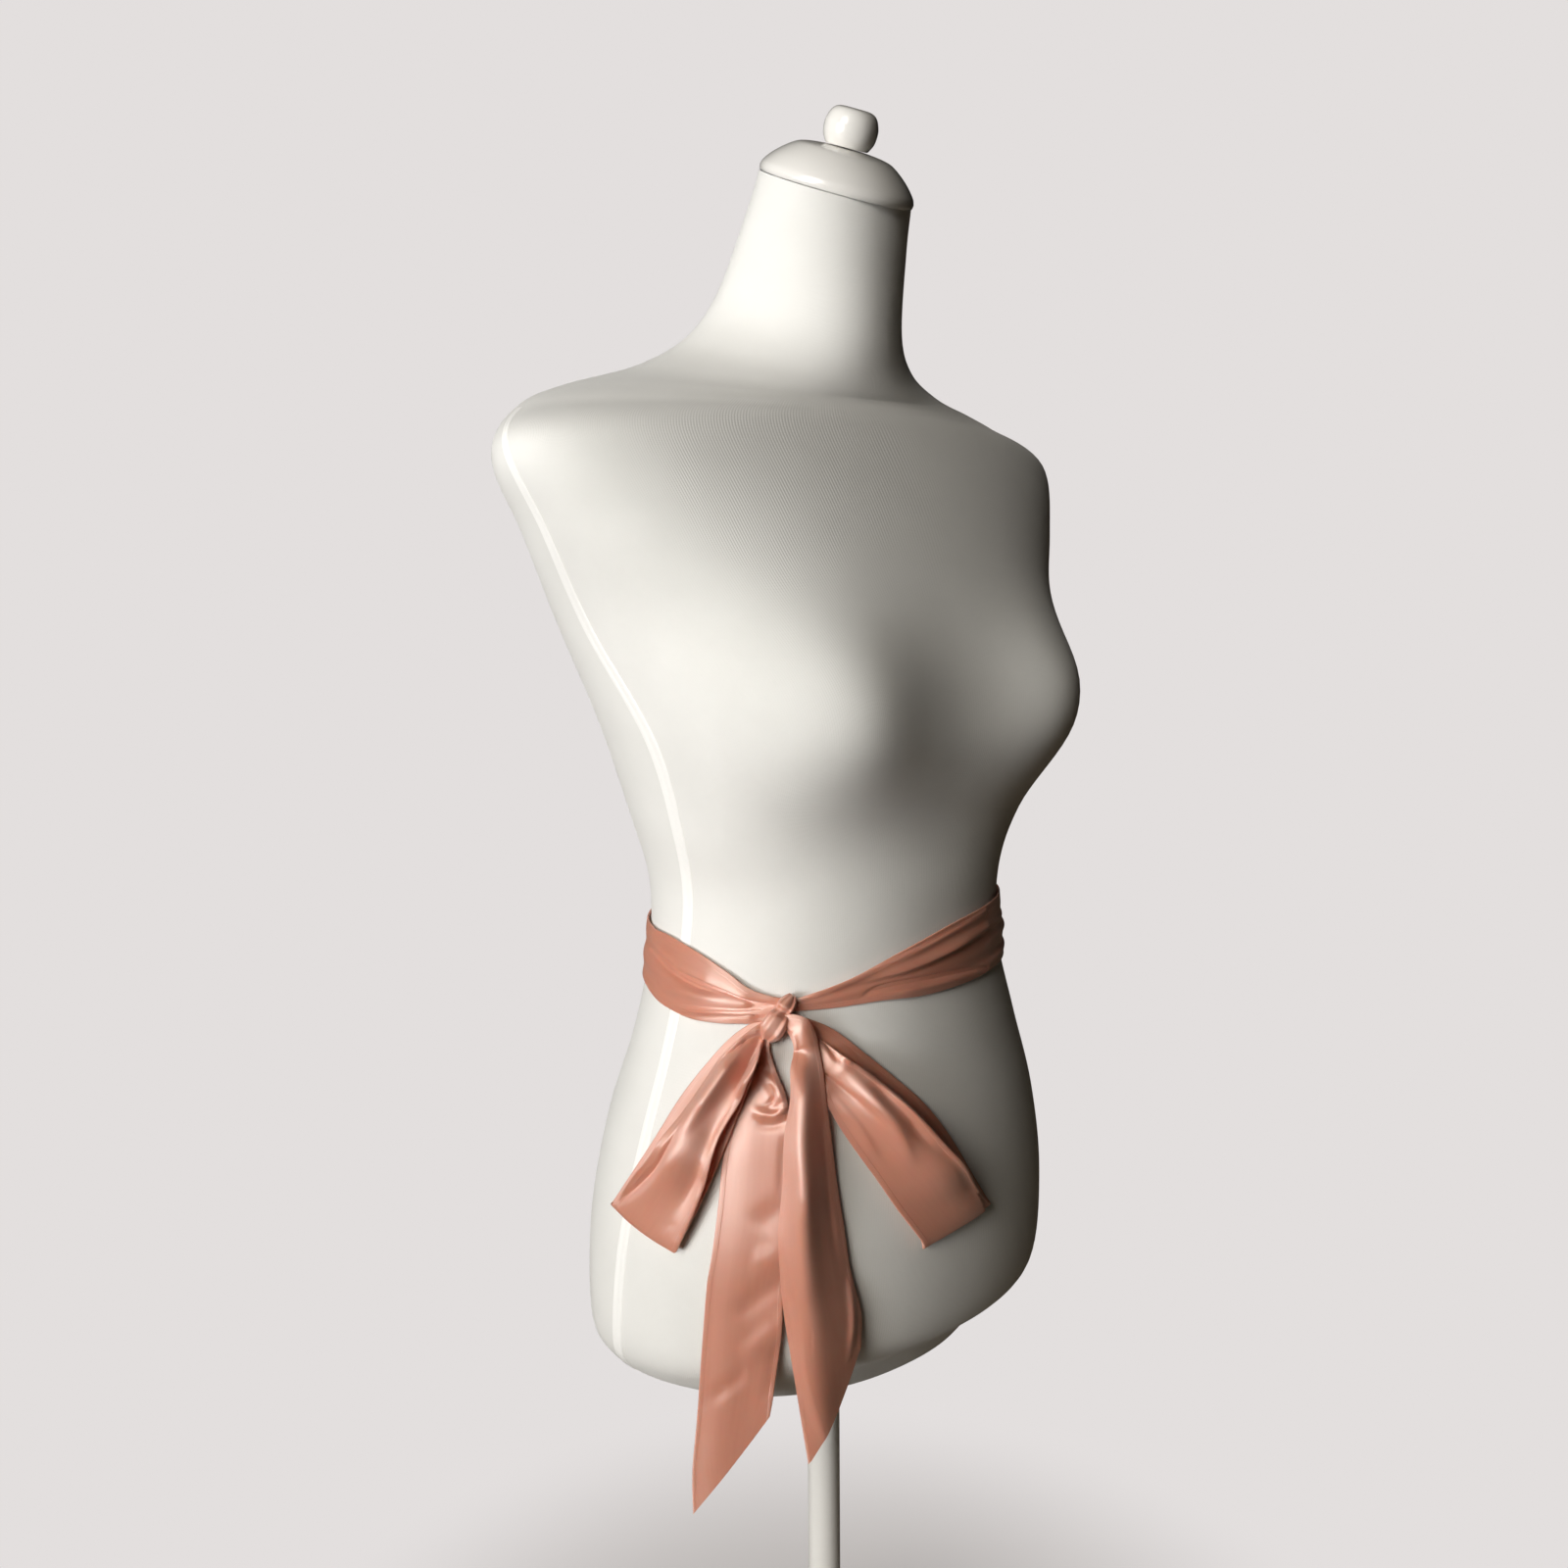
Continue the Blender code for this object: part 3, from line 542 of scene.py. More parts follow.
def cloth(name, rows, folds, finish, steps, across, nodes):
    """A stretch of the sash: a closed pressed tube on its sections, with its folds."""
    table = smooth_rows(rows, steps)
    a1, a2, a3, b1, b2, b3, belly, crest, pleats, depth = (table[:, k:k + 1] for k in range(10))
    v = np.linspace(0, 1, across + 1)[None]
    swell = np.sin(math.pi * v**(math.log(0.5) / np.log(crest)))
    wave = np.sin(2 * math.pi * pleats * v) * np.sin(math.pi * v)
    out = a3 + (b3 - a3) * v + belly * swell + depth * wave
    bearing, height = a1 + (b1 - a1) * v, a2 + (b2 - a2) * v
    flat = on_form(bearing, height, out)
    middle = flat[:, across // 2]
    run = np.concatenate([[0], np.cumsum(np.linalg.norm(np.diff(middle, axis=0), axis=1))])[:, None]
    wide = np.linalg.norm(np.diff(flat, axis=1), axis=-1).sum(1)[:, None]
    aside = (v - 0.5) * wide
    folded = np.maximum(out + fold_rise(run + 0 * v, aside, folds), np.minimum(out, LOWEST))
    surface = on_form(bearing, height, folded)
    normal = np.cross(np.gradient(surface, axis=1), np.gradient(surface, axis=0))
    normal /= np.linalg.norm(normal, axis=-1, keepdims=True)
    from_edge = (0.5 * wide - np.abs(aside)) / EDGE_WIDE
    half = 0.5 * (CLOTH_THICK + (EDGE_THICK - CLOTH_THICK) * np.exp(-from_edge**2))[..., None]
    front, back = surface + normal * half, surface - normal * half
    outer_b = surface[:, -1] - surface[:, -2]
    outer_b /= np.linalg.norm(outer_b, axis=-1, keepdims=True)
    outer_a = surface[:, 0] - surface[:, 1]
    outer_a /= np.linalg.norm(outer_a, axis=-1, keepdims=True)
    turns = [(math.cos(math.pi * t), math.sin(math.pi * t)) for t in EDGE_TURNS]
    turn_b = [surface[:, -1] + half[:, -1] * (normal[:, -1] * c + outer_b * s) for c, s in turns]
    turn_a = [surface[:, 0] + half[:, 0] * (outer_a * s - normal[:, 0] * c) for c, s in turns]
    round_it = np.concatenate([front, np.stack(turn_b, 1), back[:, ::-1], np.stack(turn_a, 1)], axis=1)
    count = round_it.shape[1]
    last = (len(round_it) - 1) * count
    faces = grid_faces(len(round_it), count, closed=True)
    for base, order in ((0, 1), (last, -1)):
        ring = list(range(base, base + count))
        rim = len(EDGE_TURNS)
        for j in range(across):
            quad = (ring[j], ring[j + 1], ring[2 * across + rim - j], ring[2 * across + rim + 1 - j])
            faces.append(quad[::order])
        for start in (across, 2 * across + 1 + rim):
            edge = [ring[(start + k) % count] for k in range(rim + 2)]
            faces.append(tuple(edge[::order]))
    lies = np.concatenate([aside, aside[:, -1:] + np.zeros((1, rim)), aside[:, ::-1],
                           aside[:, :1] + np.zeros((1, rim))], axis=1)
    places = np.stack(np.broadcast_arrays(lies, run), -1).reshape(-1, 2)
    hems = np.stack(np.broadcast_arrays(0.5 * wide - np.abs(lies), run), -1).reshape(-1, 2)
    piece = mesh_piece(name, round_it.reshape(-1, 3), faces, cloth=places, hem=hems)
    dress(piece, finish, nodes)
    return piece


satin, tree, sockets = finish_of("peach_satin", (0.68, 0.33, 0.22), 0.55, "peach_satin")
sockets["IOR"].default_value = 2.0
sockets["Specular IOR Level"].default_value = 0.9
sockets["Specular Tint"].default_value = (1.0, 0.91, 0.84, 1)
sockets["Subsurface Weight"].default_value = 0.35
sockets["Subsurface Radius"].default_value = (1.0, 0.42, 0.24)
sockets["Subsurface Scale"].default_value = 0.0014
sockets["Anisotropic"].default_value = 0.8
sockets["Sheen Weight"].default_value = 0.2
sockets["Sheen Roughness"].default_value = 0.45
sockets["Sheen Tint"].default_value = (1.0, 0.86, 0.78, 1)
tree.links.new(node(tree, "Tangent", direction_type="UV_MAP", uv_map="cloth")[0], sockets["Tangent"])
place = node(tree, "UVMap", uv_map="cloth")[0]
threads = node(tree, "Mapping", {"Vector": place, "Scale": THREADS})[0]
thread = node(tree, "TexNoise", {"Vector": threads, "Scale": 1.0, "Detail": 2.0})["Fac"]
slubs = node(tree, "Mapping", {"Vector": place, "Scale": SLUBS})[0]
slub = node(tree, "TexNoise", {"Vector": slubs, "Scale": 1.0, "Detail": 3.0})["Fac"]
weave = node(tree, "Math", {0: thread, 1: 0.5, 2: slub}, operation="MULTIPLY_ADD")[0]
woven = node(tree, "Bump", {"Height": weave, "Distance": 0.00012, "Strength": 0.22})[0]
from_hem = node(tree, "SeparateXYZ", {0: node(tree, "UVMap", uv_map="hem")[0]})
hem = node(tree, "MapRange", {"Value": from_hem[0], "From Min": HEM_WIDE, "From Max": HEM_WIDE + HEM_STEP,
                              "To Min": 1.0, "To Max": 0.0}, interpolation_type="SMOOTHSTEP")[0]
in_line = node(tree, "Math", {0: from_hem[0], 1: HEM_WIDE - STITCH_IN, 2: STITCH_HALF},
               operation="COMPARE")[0]
counted = node(tree, "Math", {0: from_hem[1], 1: STITCH_LONG}, operation="DIVIDE")[0]
beat = node(tree, "Math", {0: counted}, operation="FRACT")[0]
shown = node(tree, "Math", {0: beat, 1: STITCH_SHARE}, operation="LESS_THAN")[0]
stitch = node(tree, "Math", {0: shown, 1: in_line}, operation="MULTIPLY")[0]
edge = node(tree, "Math", {0: stitch, 1: STITCH_SINK, 2: hem}, operation="MULTIPLY_ADD")[0]
tree.links.new(node(tree, "Bump", {"Height": edge, "Distance": 0.0003, "Strength": 0.5, "Normal": woven})[0],
               sockets["Normal"])
tint = node(tree, "Mix", {0: slub, 6: (0.60, 0.245, 0.162, 1), 7: (0.67, 0.295, 0.202, 1)},
            data_type="RGBA")[2]
tree.links.new(tint, sockets["Base Color"])
gloss = node(tree, "MapRange", {"Value": thread, "To Min": 0.45, "To Max": 0.55})[0]
tree.links.new(gloss, sockets["Roughness"])


# Sash, round the waist
# The sash passes once round the waist, lower at the bow than at the back. It lies in soft pleats
# that gather towards the knot from both sides.
BAND = [
    Section(54.2, 0.2340, 0.0016, 57.6, 0.2225, 0.0016, 0.0000, 0.5, 2, 0.0000),
    Section(64.5, 0.2390, 0.0017, 66.0, 0.2220, 0.0017, 0.0003, 0.5, 2, 0.0003),
    Section(73.0, 0.2480, 0.0018, 73.5, 0.2210, 0.0017, 0.0006, 0.5, 2, 0.0006),
    Section(83.0, 0.2555, 0.0019, 83.5, 0.2212, 0.0017, 0.0008, 0.5, 2, 0.0007),
    Section(96.0, 0.2605, 0.0019, 96.0, 0.2240, 0.0017, 0.0008, 0.5, 2, 0.0007),
    Section(110.0, 0.2615, 0.0019, 110.0, 0.2295, 0.0017, 0.0008, 0.5, 2, 0.0006),
    Section(132.0, 0.2635, 0.0019, 132.0, 0.2325, 0.0017, 0.0006, 0.5, 2, 0.0005),
    Section(156.0, 0.2685, 0.0019, 156.0, 0.2345, 0.0017, 0.0005, 0.5, 2, 0.0005),
    Section(180.0, 0.2730, 0.0019, 180.0, 0.2355, 0.0017, 0.0005, 0.5, 2, 0.0005),
    Section(204.0, 0.2750, 0.0019, 204.0, 0.2360, 0.0017, 0.0005, 0.5, 2, 0.0005),
    Section(228.0, 0.2750, 0.0019, 228.0, 0.2360, 0.0017, 0.0006, 0.5, 2, 0.0005),
    Section(252.0, 0.2745, 0.0019, 252.0, 0.2355, 0.0017, 0.0006, 0.5, 2, 0.0005),
    Section(276.0, 0.2735, 0.0019, 276.0, 0.2345, 0.0017, 0.0006, 0.5, 2, 0.0006),
    Section(300.0, 0.2725, 0.0019, 300.0, 0.2335, 0.0017, 0.0008, 0.5, 2, 0.0006),
    Section(321.0, 0.2713, 0.0019, 321.0, 0.2325, 0.0017, 0.0008, 0.5, 2, 0.0007),
    Section(337.0, 0.2695, 0.0019, 337.0, 0.2315, 0.0017, 0.0008, 0.5, 2, 0.0007),
    Section(353.0, 0.2660, 0.0019, 353.0, 0.2305, 0.0017, 0.0008, 0.5, 2, 0.0007),
    Section(370.0, 0.2593, 0.0018, 370.0, 0.2300, 0.0017, 0.0008, 0.5, 2, 0.0006),
    Section(386.0, 0.2508, 0.0018, 386.0, 0.2312, 0.0017, 0.0005, 0.5, 2, 0.0004),
    Section(400.5, 0.2420, 0.0017, 401.0, 0.2300, 0.0016, 0.0002, 0.5, 2, 0.0002),
    Section(414.2, 0.2340, 0.0016, 415.8, 0.2290, 0.0016, 0.0000, 0.5, 2, 0.0000),
]
BAND_FOLDS = [
    Fold(0.067, -0.0127, 0.079, -0.0147, 0.091, -0.0166, -0.0009, 0.0030, 0.0030, 0.1, 0.2),
    Fold(0.046, -0.0050, 0.072, -0.0070, 0.097, -0.0094, 0.0038, 0.0075, 0.0008, 0.2, 0.6),
    Fold(0.036, -0.0007, 0.063, -0.0005, 0.102, -0.0044, -0.0028, 0.0007, 0.0020, 0.1, 0.8),
    Fold(0.011, -0.0042, 0.036, -0.0050, 0.064, -0.0062, 0.0034, 0.0080, 0.0008, 0.5, 0.2),
    Fold(0.009, -0.0040, 0.037, -0.0033, 0.070, -0.0035, -0.0024, 0.0006, 0.0014, 0.8, 0.2),
    Fold(0.022, -0.0017, 0.055, 0.0055, 0.087, 0.0107, 0.0022, 0.0032, 0.0034, 0.6, 0.2),
    Fold(0.013, -0.0004, 0.044, 0.0098, 0.074, 0.0186, -0.0026, 0.0014, 0.0006, 0.8, 0.1),
    Fold(0.017, 0.0047, 0.040, 0.0126, 0.065, 0.0195, 0.0030, 0.0009, 0.0036, 0.6, 0.2),
    Fold(0.516, -0.0172, 0.614, -0.0075, 0.652, -0.0035, 0.0024, 0.0012, 0.0028, 0.4, 0.3),
    Fold(0.515, -0.0115, 0.582, -0.0100, 0.626, -0.0057, -0.0009, 0.0028, 0.0028, 0.6, 0.1),
    Fold(0.515, -0.0067, 0.571, -0.0035, 0.618, -0.0037, 0.0042, 0.0036, 0.0018, 0.4, 0.1),
    Fold(0.516, 0.0163, 0.583, 0.0047, 0.612, 0.0032, -0.0028, 0.0012, 0.0016, 0.6, 0.3),
    Fold(0.528, 0.0165, 0.572, 0.0107, 0.607, 0.0058, 0.0036, 0.0014, 0.0032, 0.2, 0.2),
    Fold(0.612, 0.0006, 0.638, -0.0004, 0.651, 0.0002, 0.0012, 0.0030, 0.0028, 0.2, 0.6),
    Fold(0.150, 0.0060, 0.180, 0.0070, 0.225, 0.0060, 0.0013, 0.0030, 0.0022, 0.2, 0.1),
    Fold(0.150, -0.0100, 0.210, -0.0080, 0.285, -0.0100, 0.0018, 0.0030, 0.0014, 0.2, 0.1),
    Fold(0.150, -0.0020, 0.235, 0.0010, 0.330, -0.0020, 0.0015, 0.0020, 0.0040, 0.1, 0.2),
    Fold(0.215, 0.0110, 0.300, 0.0090, 0.400, 0.0120, 0.0017, 0.0016, 0.0034, 0.1, 0.1),
    Fold(0.290, -0.0110, 0.350, -0.0125, 0.440, -0.0100, 0.0016, 0.0034, 0.0014, 0.1, 0.2),
    Fold(0.330, -0.0050, 0.375, -0.0035, 0.430, -0.0055, -0.0008, 0.0020, 0.0024, 0.1, 0.1),
    Fold(0.350, 0.0000, 0.420, 0.0030, 0.510, 0.0010, 0.0019, 0.0036, 0.0020, 0.1, 0.2),
    Fold(0.420, -0.0060, 0.470, -0.0050, 0.540, -0.0090, 0.0013, 0.0024, 0.0030, 0.1, 0.2),
    Fold(0.440, 0.0120, 0.490, 0.0140, 0.550, 0.0150, 0.0015, 0.0020, 0.0030, 0.2, 0.2),
]
band = cloth("sash_band_cloth", BAND, BAND_FOLDS, satin, steps=16, across=72, nodes=["sash_band"])


# Left loop of the bow
# The satin strip runs out from the knot down the form's side, turns back on itself at the loop's end
# and comes back over. Only the knot holds it, so the two layers lie loose on each other.
LOOP_LEFT = [
    Section(61.0, 0.223, 0.0044, 60.0, 0.218, 0.0044, 0.0000, 0.5, 0, 0.0000),
    Section(64.5, 0.221, 0.0044, 61.0, 0.213, 0.0048, 0.0000, 0.5, 1, 0.0002),
    Section(71.0, 0.209, 0.0036, 62.0, 0.199, 0.0050, 0.0003, 0.5, 1, 0.0003),
    Section(79.5, 0.183, 0.0026, 64.5, 0.176, 0.0048, 0.0004, 0.5, 1, 0.0003),
    Section(85.5, 0.155, 0.0024, 67.0, 0.154, 0.0040, 0.0003, 0.5, 1, 0.0003),
    Section(91.5, 0.128, 0.0024, 70.5, 0.126, 0.0034, 0.0002, 0.5, 1, 0.0002),
    Section(94.0, 0.116, 0.0029, 73.5, 0.106, 0.0036, 0.0000, 0.5, 1, 0.0000),
    Section(94.0, 0.114, 0.0047, 74.0, 0.102, 0.0056, 0.0000, 0.5, 1, 0.0000),
    Section(91.5, 0.117, 0.0070, 73.0, 0.105, 0.0070, 0.0004, 0.5, 1, 0.0002),
    Section(86.0, 0.132, 0.0095, 70.5, 0.123, 0.0080, 0.0015, 0.5, 1, 0.0006),
    Section(81.0, 0.148, 0.0110, 68.5, 0.142, 0.0088, 0.0022, 0.5, 1, 0.0010),
    Section(76.5, 0.169, 0.0118, 67.0, 0.164, 0.0100, 0.0025, 0.4, 1, 0.0013),
    Section(71.0, 0.197, 0.0112, 63.0, 0.187, 0.0110, 0.0022, 0.4, 1, 0.0014),
    Section(66.5, 0.211, 0.0100, 60.5, 0.204, 0.0108, 0.0012, 0.4, 1, 0.0007),
    Section(63.0, 0.219, 0.0090, 60.5, 0.214, 0.0092, 0.0003, 0.5, 1, 0.0002),
    Section(60.5, 0.223, 0.0084, 59.5, 0.218, 0.0084, 0.0000, 0.5, 0, 0.0000),
]
LOOP_LEFT_FOLDS = [
    Fold(0.145, -0.0245, 0.179, -0.0130, 0.211, -0.0073, -0.0034, 0.0010, 0.0050, 0.5, 0.0),
    Fold(0.147, -0.0275, 0.180, -0.0190, 0.215, -0.0140, 0.0022, 0.0020, 0.0030, 0.5, 0.1),
    Fold(0.239, -0.0113, 0.257, -0.0065, 0.270, 0.0020, -0.0018, 0.0010, 0.0018, 0.0, 0.9),
    Fold(0.237, -0.0115, 0.257, -0.0081, 0.269, -0.0026, 0.0022, 0.0034, 0.0012, 0.1, 0.6),
    Fold(0.233, 0.0058, 0.253, 0.0028, 0.268, 0.0032, -0.0064, 0.0030, 0.0022, 0.1, 0.6),
    Fold(0.233, 0.0092, 0.251, 0.0092, 0.264, 0.0062, 0.0088, 0.0020, 0.0036, 0.1, 0.6),
    Fold(0.202, -0.0031, 0.236, -0.0022, 0.256, -0.0040, 0.0076, 0.0060, 0.0026, 0.0, 0.2),
    Fold(0.153, 0.0137, 0.197, 0.0090, 0.231, 0.0063, -0.0032, 0.0050, 0.0036, 0.1, 0.2),
    Fold(0.145, 0.0239, 0.166, 0.0196, 0.187, 0.0164, 0.0016, 0.0030, 0.0030, 0.6, 0.2),
    Fold(0.181, -0.0192, 0.195, -0.0005, 0.205, 0.0120, 0.0070, 0.0210, 0.0200, 0.5, 0.5),
    Fold(0.010, -0.0020, 0.045, -0.0060, 0.092, -0.0090, 0.0010, 0.0040, 0.0030, 0.5, 0.1),
    Fold(0.020, 0.0040, 0.060, 0.0080, 0.112, 0.0120, 0.0009, 0.0030, 0.0040, 0.3, 0.1),
]
loop_left = cloth("loop_left_cloth", LOOP_LEFT, LOOP_LEFT_FOLDS, satin, steps=16, across=80,
                  nodes=["loop_left"])


# Right loop of the bow
# The same strip, turned to the other side. It lies further round the front and hangs a little lower,
# and its upper layer is pinched where the knot holds it.
LOOP_RIGHT = [
    Section(54.5, 0.227, 0.0038, 55.0, 0.221, 0.0038, 0.0000, 0.5, 0, 0.0000),
    Section(50.0, 0.225, 0.0038, 50.5, 0.216, 0.0036, 0.0000, 0.5, 1, 0.0001),
    Section(42.0, 0.218, 0.0032, 46.5, 0.203, 0.0030, 0.0003, 0.5, 1, 0.0003),
    Section(32.5, 0.204, 0.0027, 43.0, 0.187, 0.0025, 0.0004, 0.5, 1, 0.0004),
    Section(22.5, 0.188, 0.0025, 38.5, 0.170, 0.0024, 0.0004, 0.5, 1, 0.0004),
    Section(13.5, 0.172, 0.0024, 32.5, 0.152, 0.0024, 0.0004, 0.5, 1, 0.0004),
    Section(5.5, 0.152, 0.0024, 26.0, 0.131, 0.0024, 0.0003, 0.5, 1, 0.0003),
    Section(-1.5, 0.130, 0.0026, 19.5, 0.111, 0.0026, 0.0002, 0.5, 1, 0.0002),
    Section(-7.5, 0.112, 0.0031, 16.5, 0.101, 0.0033, 0.0000, 0.5, 1, 0.0000),
    Section(-8.5, 0.108, 0.0049, 16.5, 0.097, 0.0051, 0.0000, 0.5, 1, 0.0000),
    Section(-5.0, 0.113, 0.0067, 17.5, 0.102, 0.0069, 0.0004, 0.5, 1, 0.0002),
    Section(6.0, 0.136, 0.0085, 25.0, 0.123, 0.0070, 0.0018, 0.5, 1, 0.0006),
    Section(16.0, 0.155, 0.0100, 31.5, 0.143, 0.0070, 0.0025, 0.5, 1, 0.0010),
    Section(25.5, 0.178, 0.0110, 39.0, 0.165, 0.0072, 0.0025, 0.5, 1, 0.0012),
    Section(34.5, 0.196, 0.0105, 43.5, 0.181, 0.0072, 0.0018, 0.5, 1, 0.0009),
    Section(40.5, 0.205, 0.0084, 45.5, 0.195, 0.0070, 0.0008, 0.5, 1, 0.0004),
    Section(44.0, 0.211, 0.0070, 47.0, 0.205, 0.0062, 0.0003, 0.5, 1, 0.0001),
    Section(48.5, 0.217, 0.0058, 49.5, 0.213, 0.0056, 0.0000, 0.5, 1, 0.0000),
    Section(54.5, 0.225, 0.0056, 55.0, 0.220, 0.0056, 0.0000, 0.5, 0, 0.0000),
]
LOOP_RIGHT_FOLDS = [
    Fold(0.180, -0.0200, 0.230, -0.0180, 0.285, -0.0090, 0.0125, 0.0045, 0.0230, 0.3, 0.2),
    Fold(0.171, -0.0230, 0.223, -0.0188, 0.259, -0.0135, 0.0016, 0.0012, 0.0026, 0.6, 0.2),
    Fold(0.220, -0.0115, 0.252, -0.0117, 0.274, -0.0111, -0.0028, 0.0025, 0.0040, 0.0, 0.1),
    Fold(0.218, 0.0019, 0.248, -0.0022, 0.284, -0.0044, 0.0030, 0.0040, 0.0040, 0.0, 0.3),
    Fold(0.239, 0.0005, 0.268, 0.0007, 0.290, 0.0057, -0.0018, 0.0012, 0.0024, 0.0, 0.9),
    Fold(0.228, 0.0129, 0.257, 0.0096, 0.281, 0.0090, 0.0012, 0.0022, 0.0036, 0.0, 0.4),
    Fold(0.287, -0.0050, 0.295, -0.0043, 0.302, -0.0038, -0.0028, 0.0016, 0.0016, 0.0, 0.6),
    Fold(0.283, -0.0103, 0.287, -0.0089, 0.291, -0.0073, 0.0018, 0.0022, 0.0018, 0.2, 0.2),
    Fold(0.012, -0.0030, 0.055, -0.0080, 0.110, -0.0120, 0.0010, 0.0034, 0.0040, 0.5, 0.1),
    Fold(0.020, 0.0030, 0.070, 0.0060, 0.135, 0.0090, 0.0009, 0.0040, 0.0030, 0.4, 0.1),
]
loop_right = cloth("loop_right_cloth", LOOP_RIGHT, LOOP_RIGHT_FOLDS, satin, steps=15, across=80,
                   nodes=["loop_right"])


# Left tail
# The longer end of the double satin hangs free from behind the knot and curls once under the left
# loop. It is cut on the slant, sewn across and turned like the long edges.
TAIL_LEFT = [
    Section(60.0, 0.216, 0.0026, 58.0, 0.218, 0.0028, 0.0000, 0.5, 0, 0.0000),
    Section(61.0, 0.209, 0.0024, 59.0, 0.210, 0.0032, 0.0000, 0.5, 1, 0.0000),
    Section(62.5, 0.199, 0.0022, 57.0, 0.199, 0.0038, 0.0006, 0.8, 1, 0.0002),
    Section(64.5, 0.186, 0.0021, 54.0, 0.186, 0.0038, 0.0010, 0.8, 1, 0.0003),
    Section(66.0, 0.171, 0.0021, 52.5, 0.175, 0.0028, 0.0004, 0.6, 1, 0.0004),
    Section(66.5, 0.151, 0.0022, 51.0, 0.157, 0.0024, 0.0002, 0.5, 1, 0.0004),
    Section(66.0, 0.129, 0.0022, 50.0, 0.132, 0.0022, 0.0005, 0.5, 1, 0.0003),
    Section(66.0, 0.103, 0.0024, 50.0, 0.107, 0.0024, 0.0008, 0.5, 1, 0.0004),
    Section(67.0, 0.073, 0.0028, 51.0, 0.080, 0.0026, 0.0010, 0.5, 1, 0.0006),
    Section(68.0, 0.042, 0.0034, 51.5, 0.058, 0.0030, 0.0010, 0.5, 1, 0.0008),
    Section(69.0, 0.009, 0.0040, 53.0, 0.031, 0.0036, 0.0010, 0.5, 1, 0.0008),
    Section(70.0, -0.019, 0.0048, 53.5, 0.022, 0.0042, 0.0008, 0.5, 1, 0.0006),
    Section(70.0, -0.044, 0.0050, 54.0, 0.015, 0.0044, 0.0005, 0.5, 1, 0.0004),
]
TAIL_LEFT_FOLDS = [
    Fold(0.020, -0.0013, 0.029, 0.0065, 0.040, 0.0117, 0.0030, 0.0036, 0.0028, 0.2, 0.6),
    Fold(0.038, -0.0061, 0.044, 0.0057, 0.040, 0.0117, 0.0026, 0.0026, 0.0026, 0.2, 0.6),
    Fold(0.025, 0.0026, 0.033, 0.0065, 0.038, 0.0014, -0.0016, 0.0014, 0.0014, 0.2, 0.2),
    Fold(0.046, -0.0027, 0.049, 0.0061, 0.048, 0.0149, -0.0012, 0.0030, 0.0030, 0.2, 0.8),
    Fold(0.053, 0.0140, 0.072, 0.0139, 0.091, 0.0134, -0.0010, 0.0030, 0.0030, 0.2, 0.1),
    Fold(0.094, 0.0130, 0.097, 0.0065, 0.105, -0.0010, -0.0010, 0.0070, 0.0070, 0.7, 0.0),
    Fold(0.115, 0.0155, 0.120, 0.0093, 0.123, -0.0010, 0.0014, 0.0080, 0.0080, 0.7, 0.0),
    Fold(0.135, 0.0193, 0.142, 0.0068, 0.154, -0.0076, -0.0014, 0.0070, 0.0070, 0.7, 0.0),
    Fold(0.160, 0.0200, 0.168, 0.0108, 0.175, -0.0017, 0.0016, 0.0075, 0.0090, 0.6, 0.0),
    Fold(0.184, 0.0064, 0.187, -0.0041, 0.192, -0.0192, -0.0012, 0.0060, 0.0060, 0.0, 0.2),
    Fold(0.168, 0.0222, 0.188, 0.0227, 0.210, 0.0252, -0.0014, 0.0054, 0.0040, 0.1, 0.0),
]
tail_left = cloth("tail_left_cloth", TAIL_LEFT, TAIL_LEFT_FOLDS, satin, steps=20, across=72,
                  nodes=["tail_left"])


# Right tail
# The shorter end of the double satin springs from the knot in a rounded puff and narrows below it. It
# hangs free, folded half over lengthwise, down to the same slanted and sewn cut.
TAIL_RIGHT = [
    Section(55.5, 0.221, 0.0084, 55.5, 0.227, 0.0095, 0.0000, 0.5, 0, 0.0000),
    Section(54.5, 0.219, 0.0088, 52.5, 0.227, 0.0110, 0.0018, 0.5, 0, 0.0000),
    Section(53.0, 0.214, 0.0090, 49.5, 0.224, 0.0120, 0.0036, 0.5, 0, 0.0000),
    Section(52.5, 0.210, 0.0086, 47.5, 0.216, 0.0112, 0.0038, 0.5, 0, 0.0000),
    Section(52.5, 0.206, 0.0080, 46.5, 0.208, 0.0100, 0.0026, 0.5, 0, 0.0000),
    Section(53.0, 0.199, 0.0074, 45.5, 0.198, 0.0100, 0.0030, 0.45, 0, 0.0000),
    Section(52.5, 0.184, 0.0064, 44.5, 0.184, 0.0098, 0.0042, 0.45, 0, 0.0000),
    Section(53.0, 0.165, 0.0056, 42.5, 0.165, 0.0060, 0.0062, 0.42, 0, 0.0000),
    Section(52.5, 0.143, 0.0052, 40.5, 0.142, 0.0034, 0.0080, 0.42, 0, 0.0000),
    Section(52.5, 0.116, 0.0052, 38.0, 0.115, 0.0030, 0.0085, 0.42, 0, 0.0000),
    Section(51.5, 0.095, 0.0055, 36.0, 0.092, 0.0030, 0.0085, 0.42, 0, 0.0000),
    Section(50.5, 0.071, 0.0062, 33.5, 0.069, 0.0034, 0.0080, 0.42, 0, 0.0000),
    Section(49.0, 0.044, 0.0078, 33.5, 0.053, 0.0036, 0.0060, 0.40, 0, 0.0000),
    Section(46.0, -0.010, 0.0090, 33.5, 0.049, 0.0036, 0.0040, 0.38, 0, 0.0000),
]
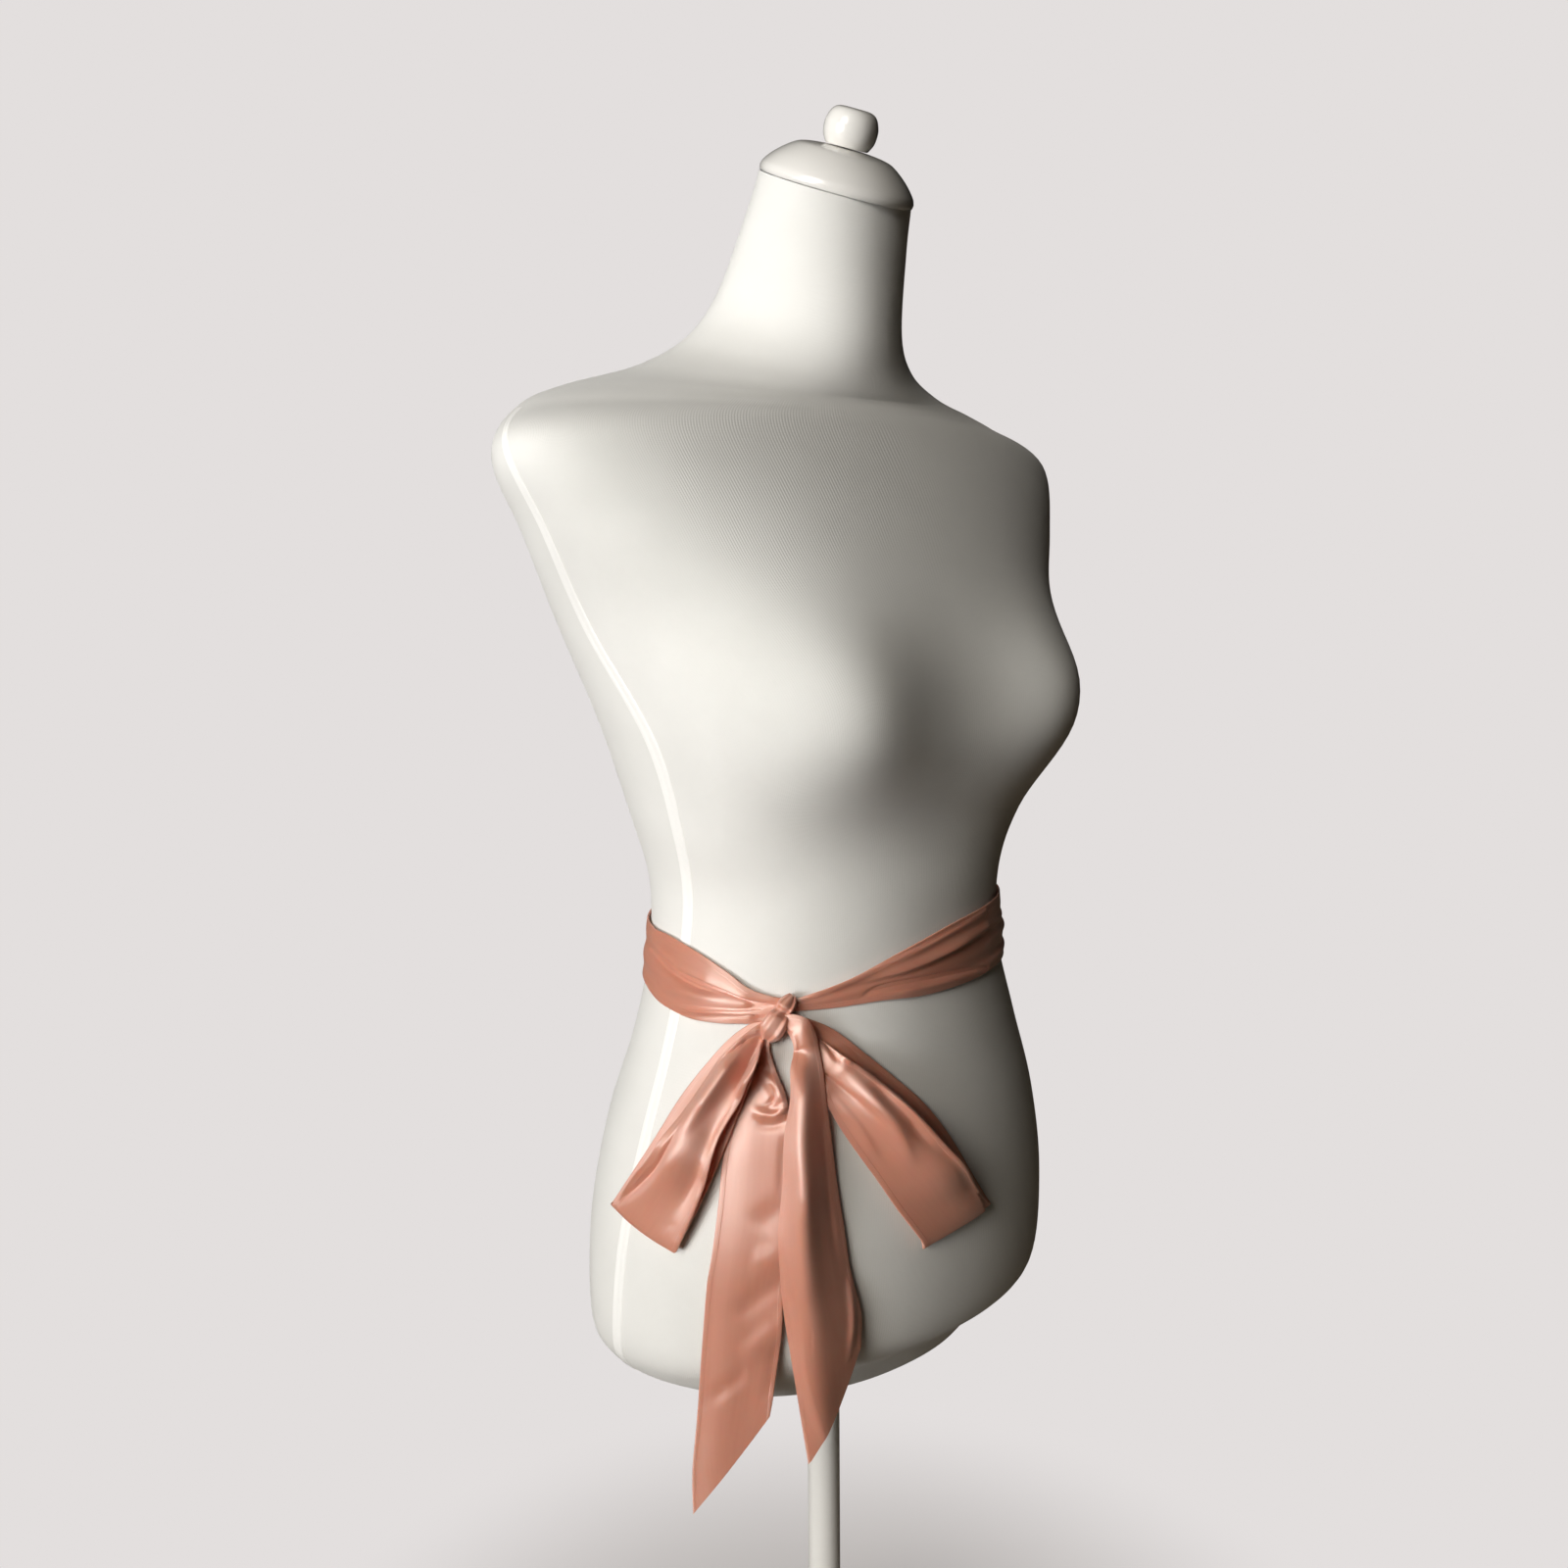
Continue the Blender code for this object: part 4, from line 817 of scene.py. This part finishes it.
TAIL_RIGHT_FOLDS = [
    Fold(0.020, -0.0061, 0.070, -0.0066, 0.165, -0.0106, 0.0130, 0.0062, 0.0095, 0.0, 0.1),
    Fold(0.000, -0.0019, 0.005, -0.0042, 0.008, -0.0062, -0.0014, 0.0010, 0.0010, 0.3, 0.2),
    Fold(0.007, -0.0030, 0.013, -0.0063, 0.025, -0.0063, 0.0012, 0.0026, 0.0022, 0.3, 0.3),
    Fold(0.045, 0.0067, 0.088, 0.0097, 0.142, 0.0127, -0.0012, 0.0030, 0.0024, 0.1, 0.1),
    Fold(0.139, 0.0220, 0.166, 0.0171, 0.196, 0.0118, 0.0016, 0.0030, 0.0030, 0.0, 0.2),
    Fold(0.110, -0.0130, 0.175, -0.0150, 0.228, -0.0150, 0.0060, 0.0050, 0.0140, 0.0, 0.0),
]
tail_right = cloth("tail_right_cloth", TAIL_RIGHT, TAIL_RIGHT_FOLDS, satin, steps=18, across=72,
                   nodes=["tail_right"])


# Knot
# The satin strip wraps once over the place where loops and tails cross and is pulled tight, which is
# all that holds the bow. The wrap keeps the sash's pleats as ridges along it.
Wrap = namedtuple("Wrap", "bearing height half_width crown foot")
KNOT = [
    Wrap(53.6, 0.2375, 0.0020, 0.0060, 0.0024),
    Wrap(54.2, 0.2350, 0.0040, 0.0095, 0.0010),
    Wrap(55.2, 0.2316, 0.0049, 0.0119, 0.0009),
    Wrap(55.9, 0.2289, 0.0043, 0.0102, 0.0009),
    Wrap(56.7, 0.2260, 0.0058, 0.0135, 0.0009),
    Wrap(57.9, 0.2210, 0.0064, 0.0138, 0.0009),
    Wrap(58.9, 0.2170, 0.0058, 0.0120, 0.0010),
    Wrap(59.6, 0.2140, 0.0030, 0.0085, 0.0026),
]
KNOT_SIDES = 96
KNOT_STEPS = 12
KNOT_RIDGES = 4
KNOT_TWIST = 0.35          # how the pleats turn along the wrap
KNOT_UNEVEN = 0.6
KNOT_SQUARENESS = 2.8
KNOT_RIDGE_DEPTH = 0.0006
KNOT_SLOPE = 57.0          # degrees, of the wrap's line from level
GRAIN_ROUND = 0.006        # metres of cloth for a radian round the wrap, and for a step along it
GRAIN_ALONG = 0.0004
HEM_AWAY = 0.01            # the wrap shows no hem
rings = []
turn_round = np.linspace(0, 2 * math.pi, KNOT_SIDES, endpoint=False)
slope = math.radians(KNOT_SLOPE)
for bearing, height, half, crown, foot in smooth_rows(KNOT, KNOT_STEPS):
    middle, deep = (crown + foot) / 2, (crown - foot) / 2
    side, rise = np.cos(turn_round), np.sin(turn_round)
    pleat = np.cos(2 * KNOT_RIDGES * turn_round + KNOT_TWIST * bearing) + KNOT_UNEVEN * np.cos(5 * turn_round)
    ridge = KNOT_RIDGE_DEPTH * pleat * np.clip(rise, 0, 1)
    offset = half * np.sign(side) * np.abs(side)**(2 / KNOT_SQUARENESS)
    out = middle + (deep + ridge) * np.sign(rise) * np.abs(rise)**(2 / KNOT_SQUARENESS)
    reach = np.linalg.norm(form_skin(bearing, height)[:2])
    turn = np.degrees(offset * math.sin(slope) / reach)
    rings.append(on_form(bearing + turn, height + offset * math.cos(slope), out))
faces = [face[::-1] for face in grid_faces(len(rings), KNOT_SIDES, closed=True)]
faces.append(tuple(range(KNOT_SIDES)))
faces.append(tuple(reversed(range((len(rings) - 1) * KNOT_SIDES, len(rings) * KNOT_SIDES))))
lies = np.stack(np.broadcast_arrays(turn_round[None] * GRAIN_ROUND,
                                    np.arange(len(rings))[:, None] * GRAIN_ALONG), -1)
far_in = np.full((lies.size // 2, 2), HEM_AWAY)
knot = mesh_piece("knot_wrap", np.concatenate(rings), faces, cloth=lies.reshape(-1, 2), hem=far_in)
dress(knot, satin, ["sash_knot"])
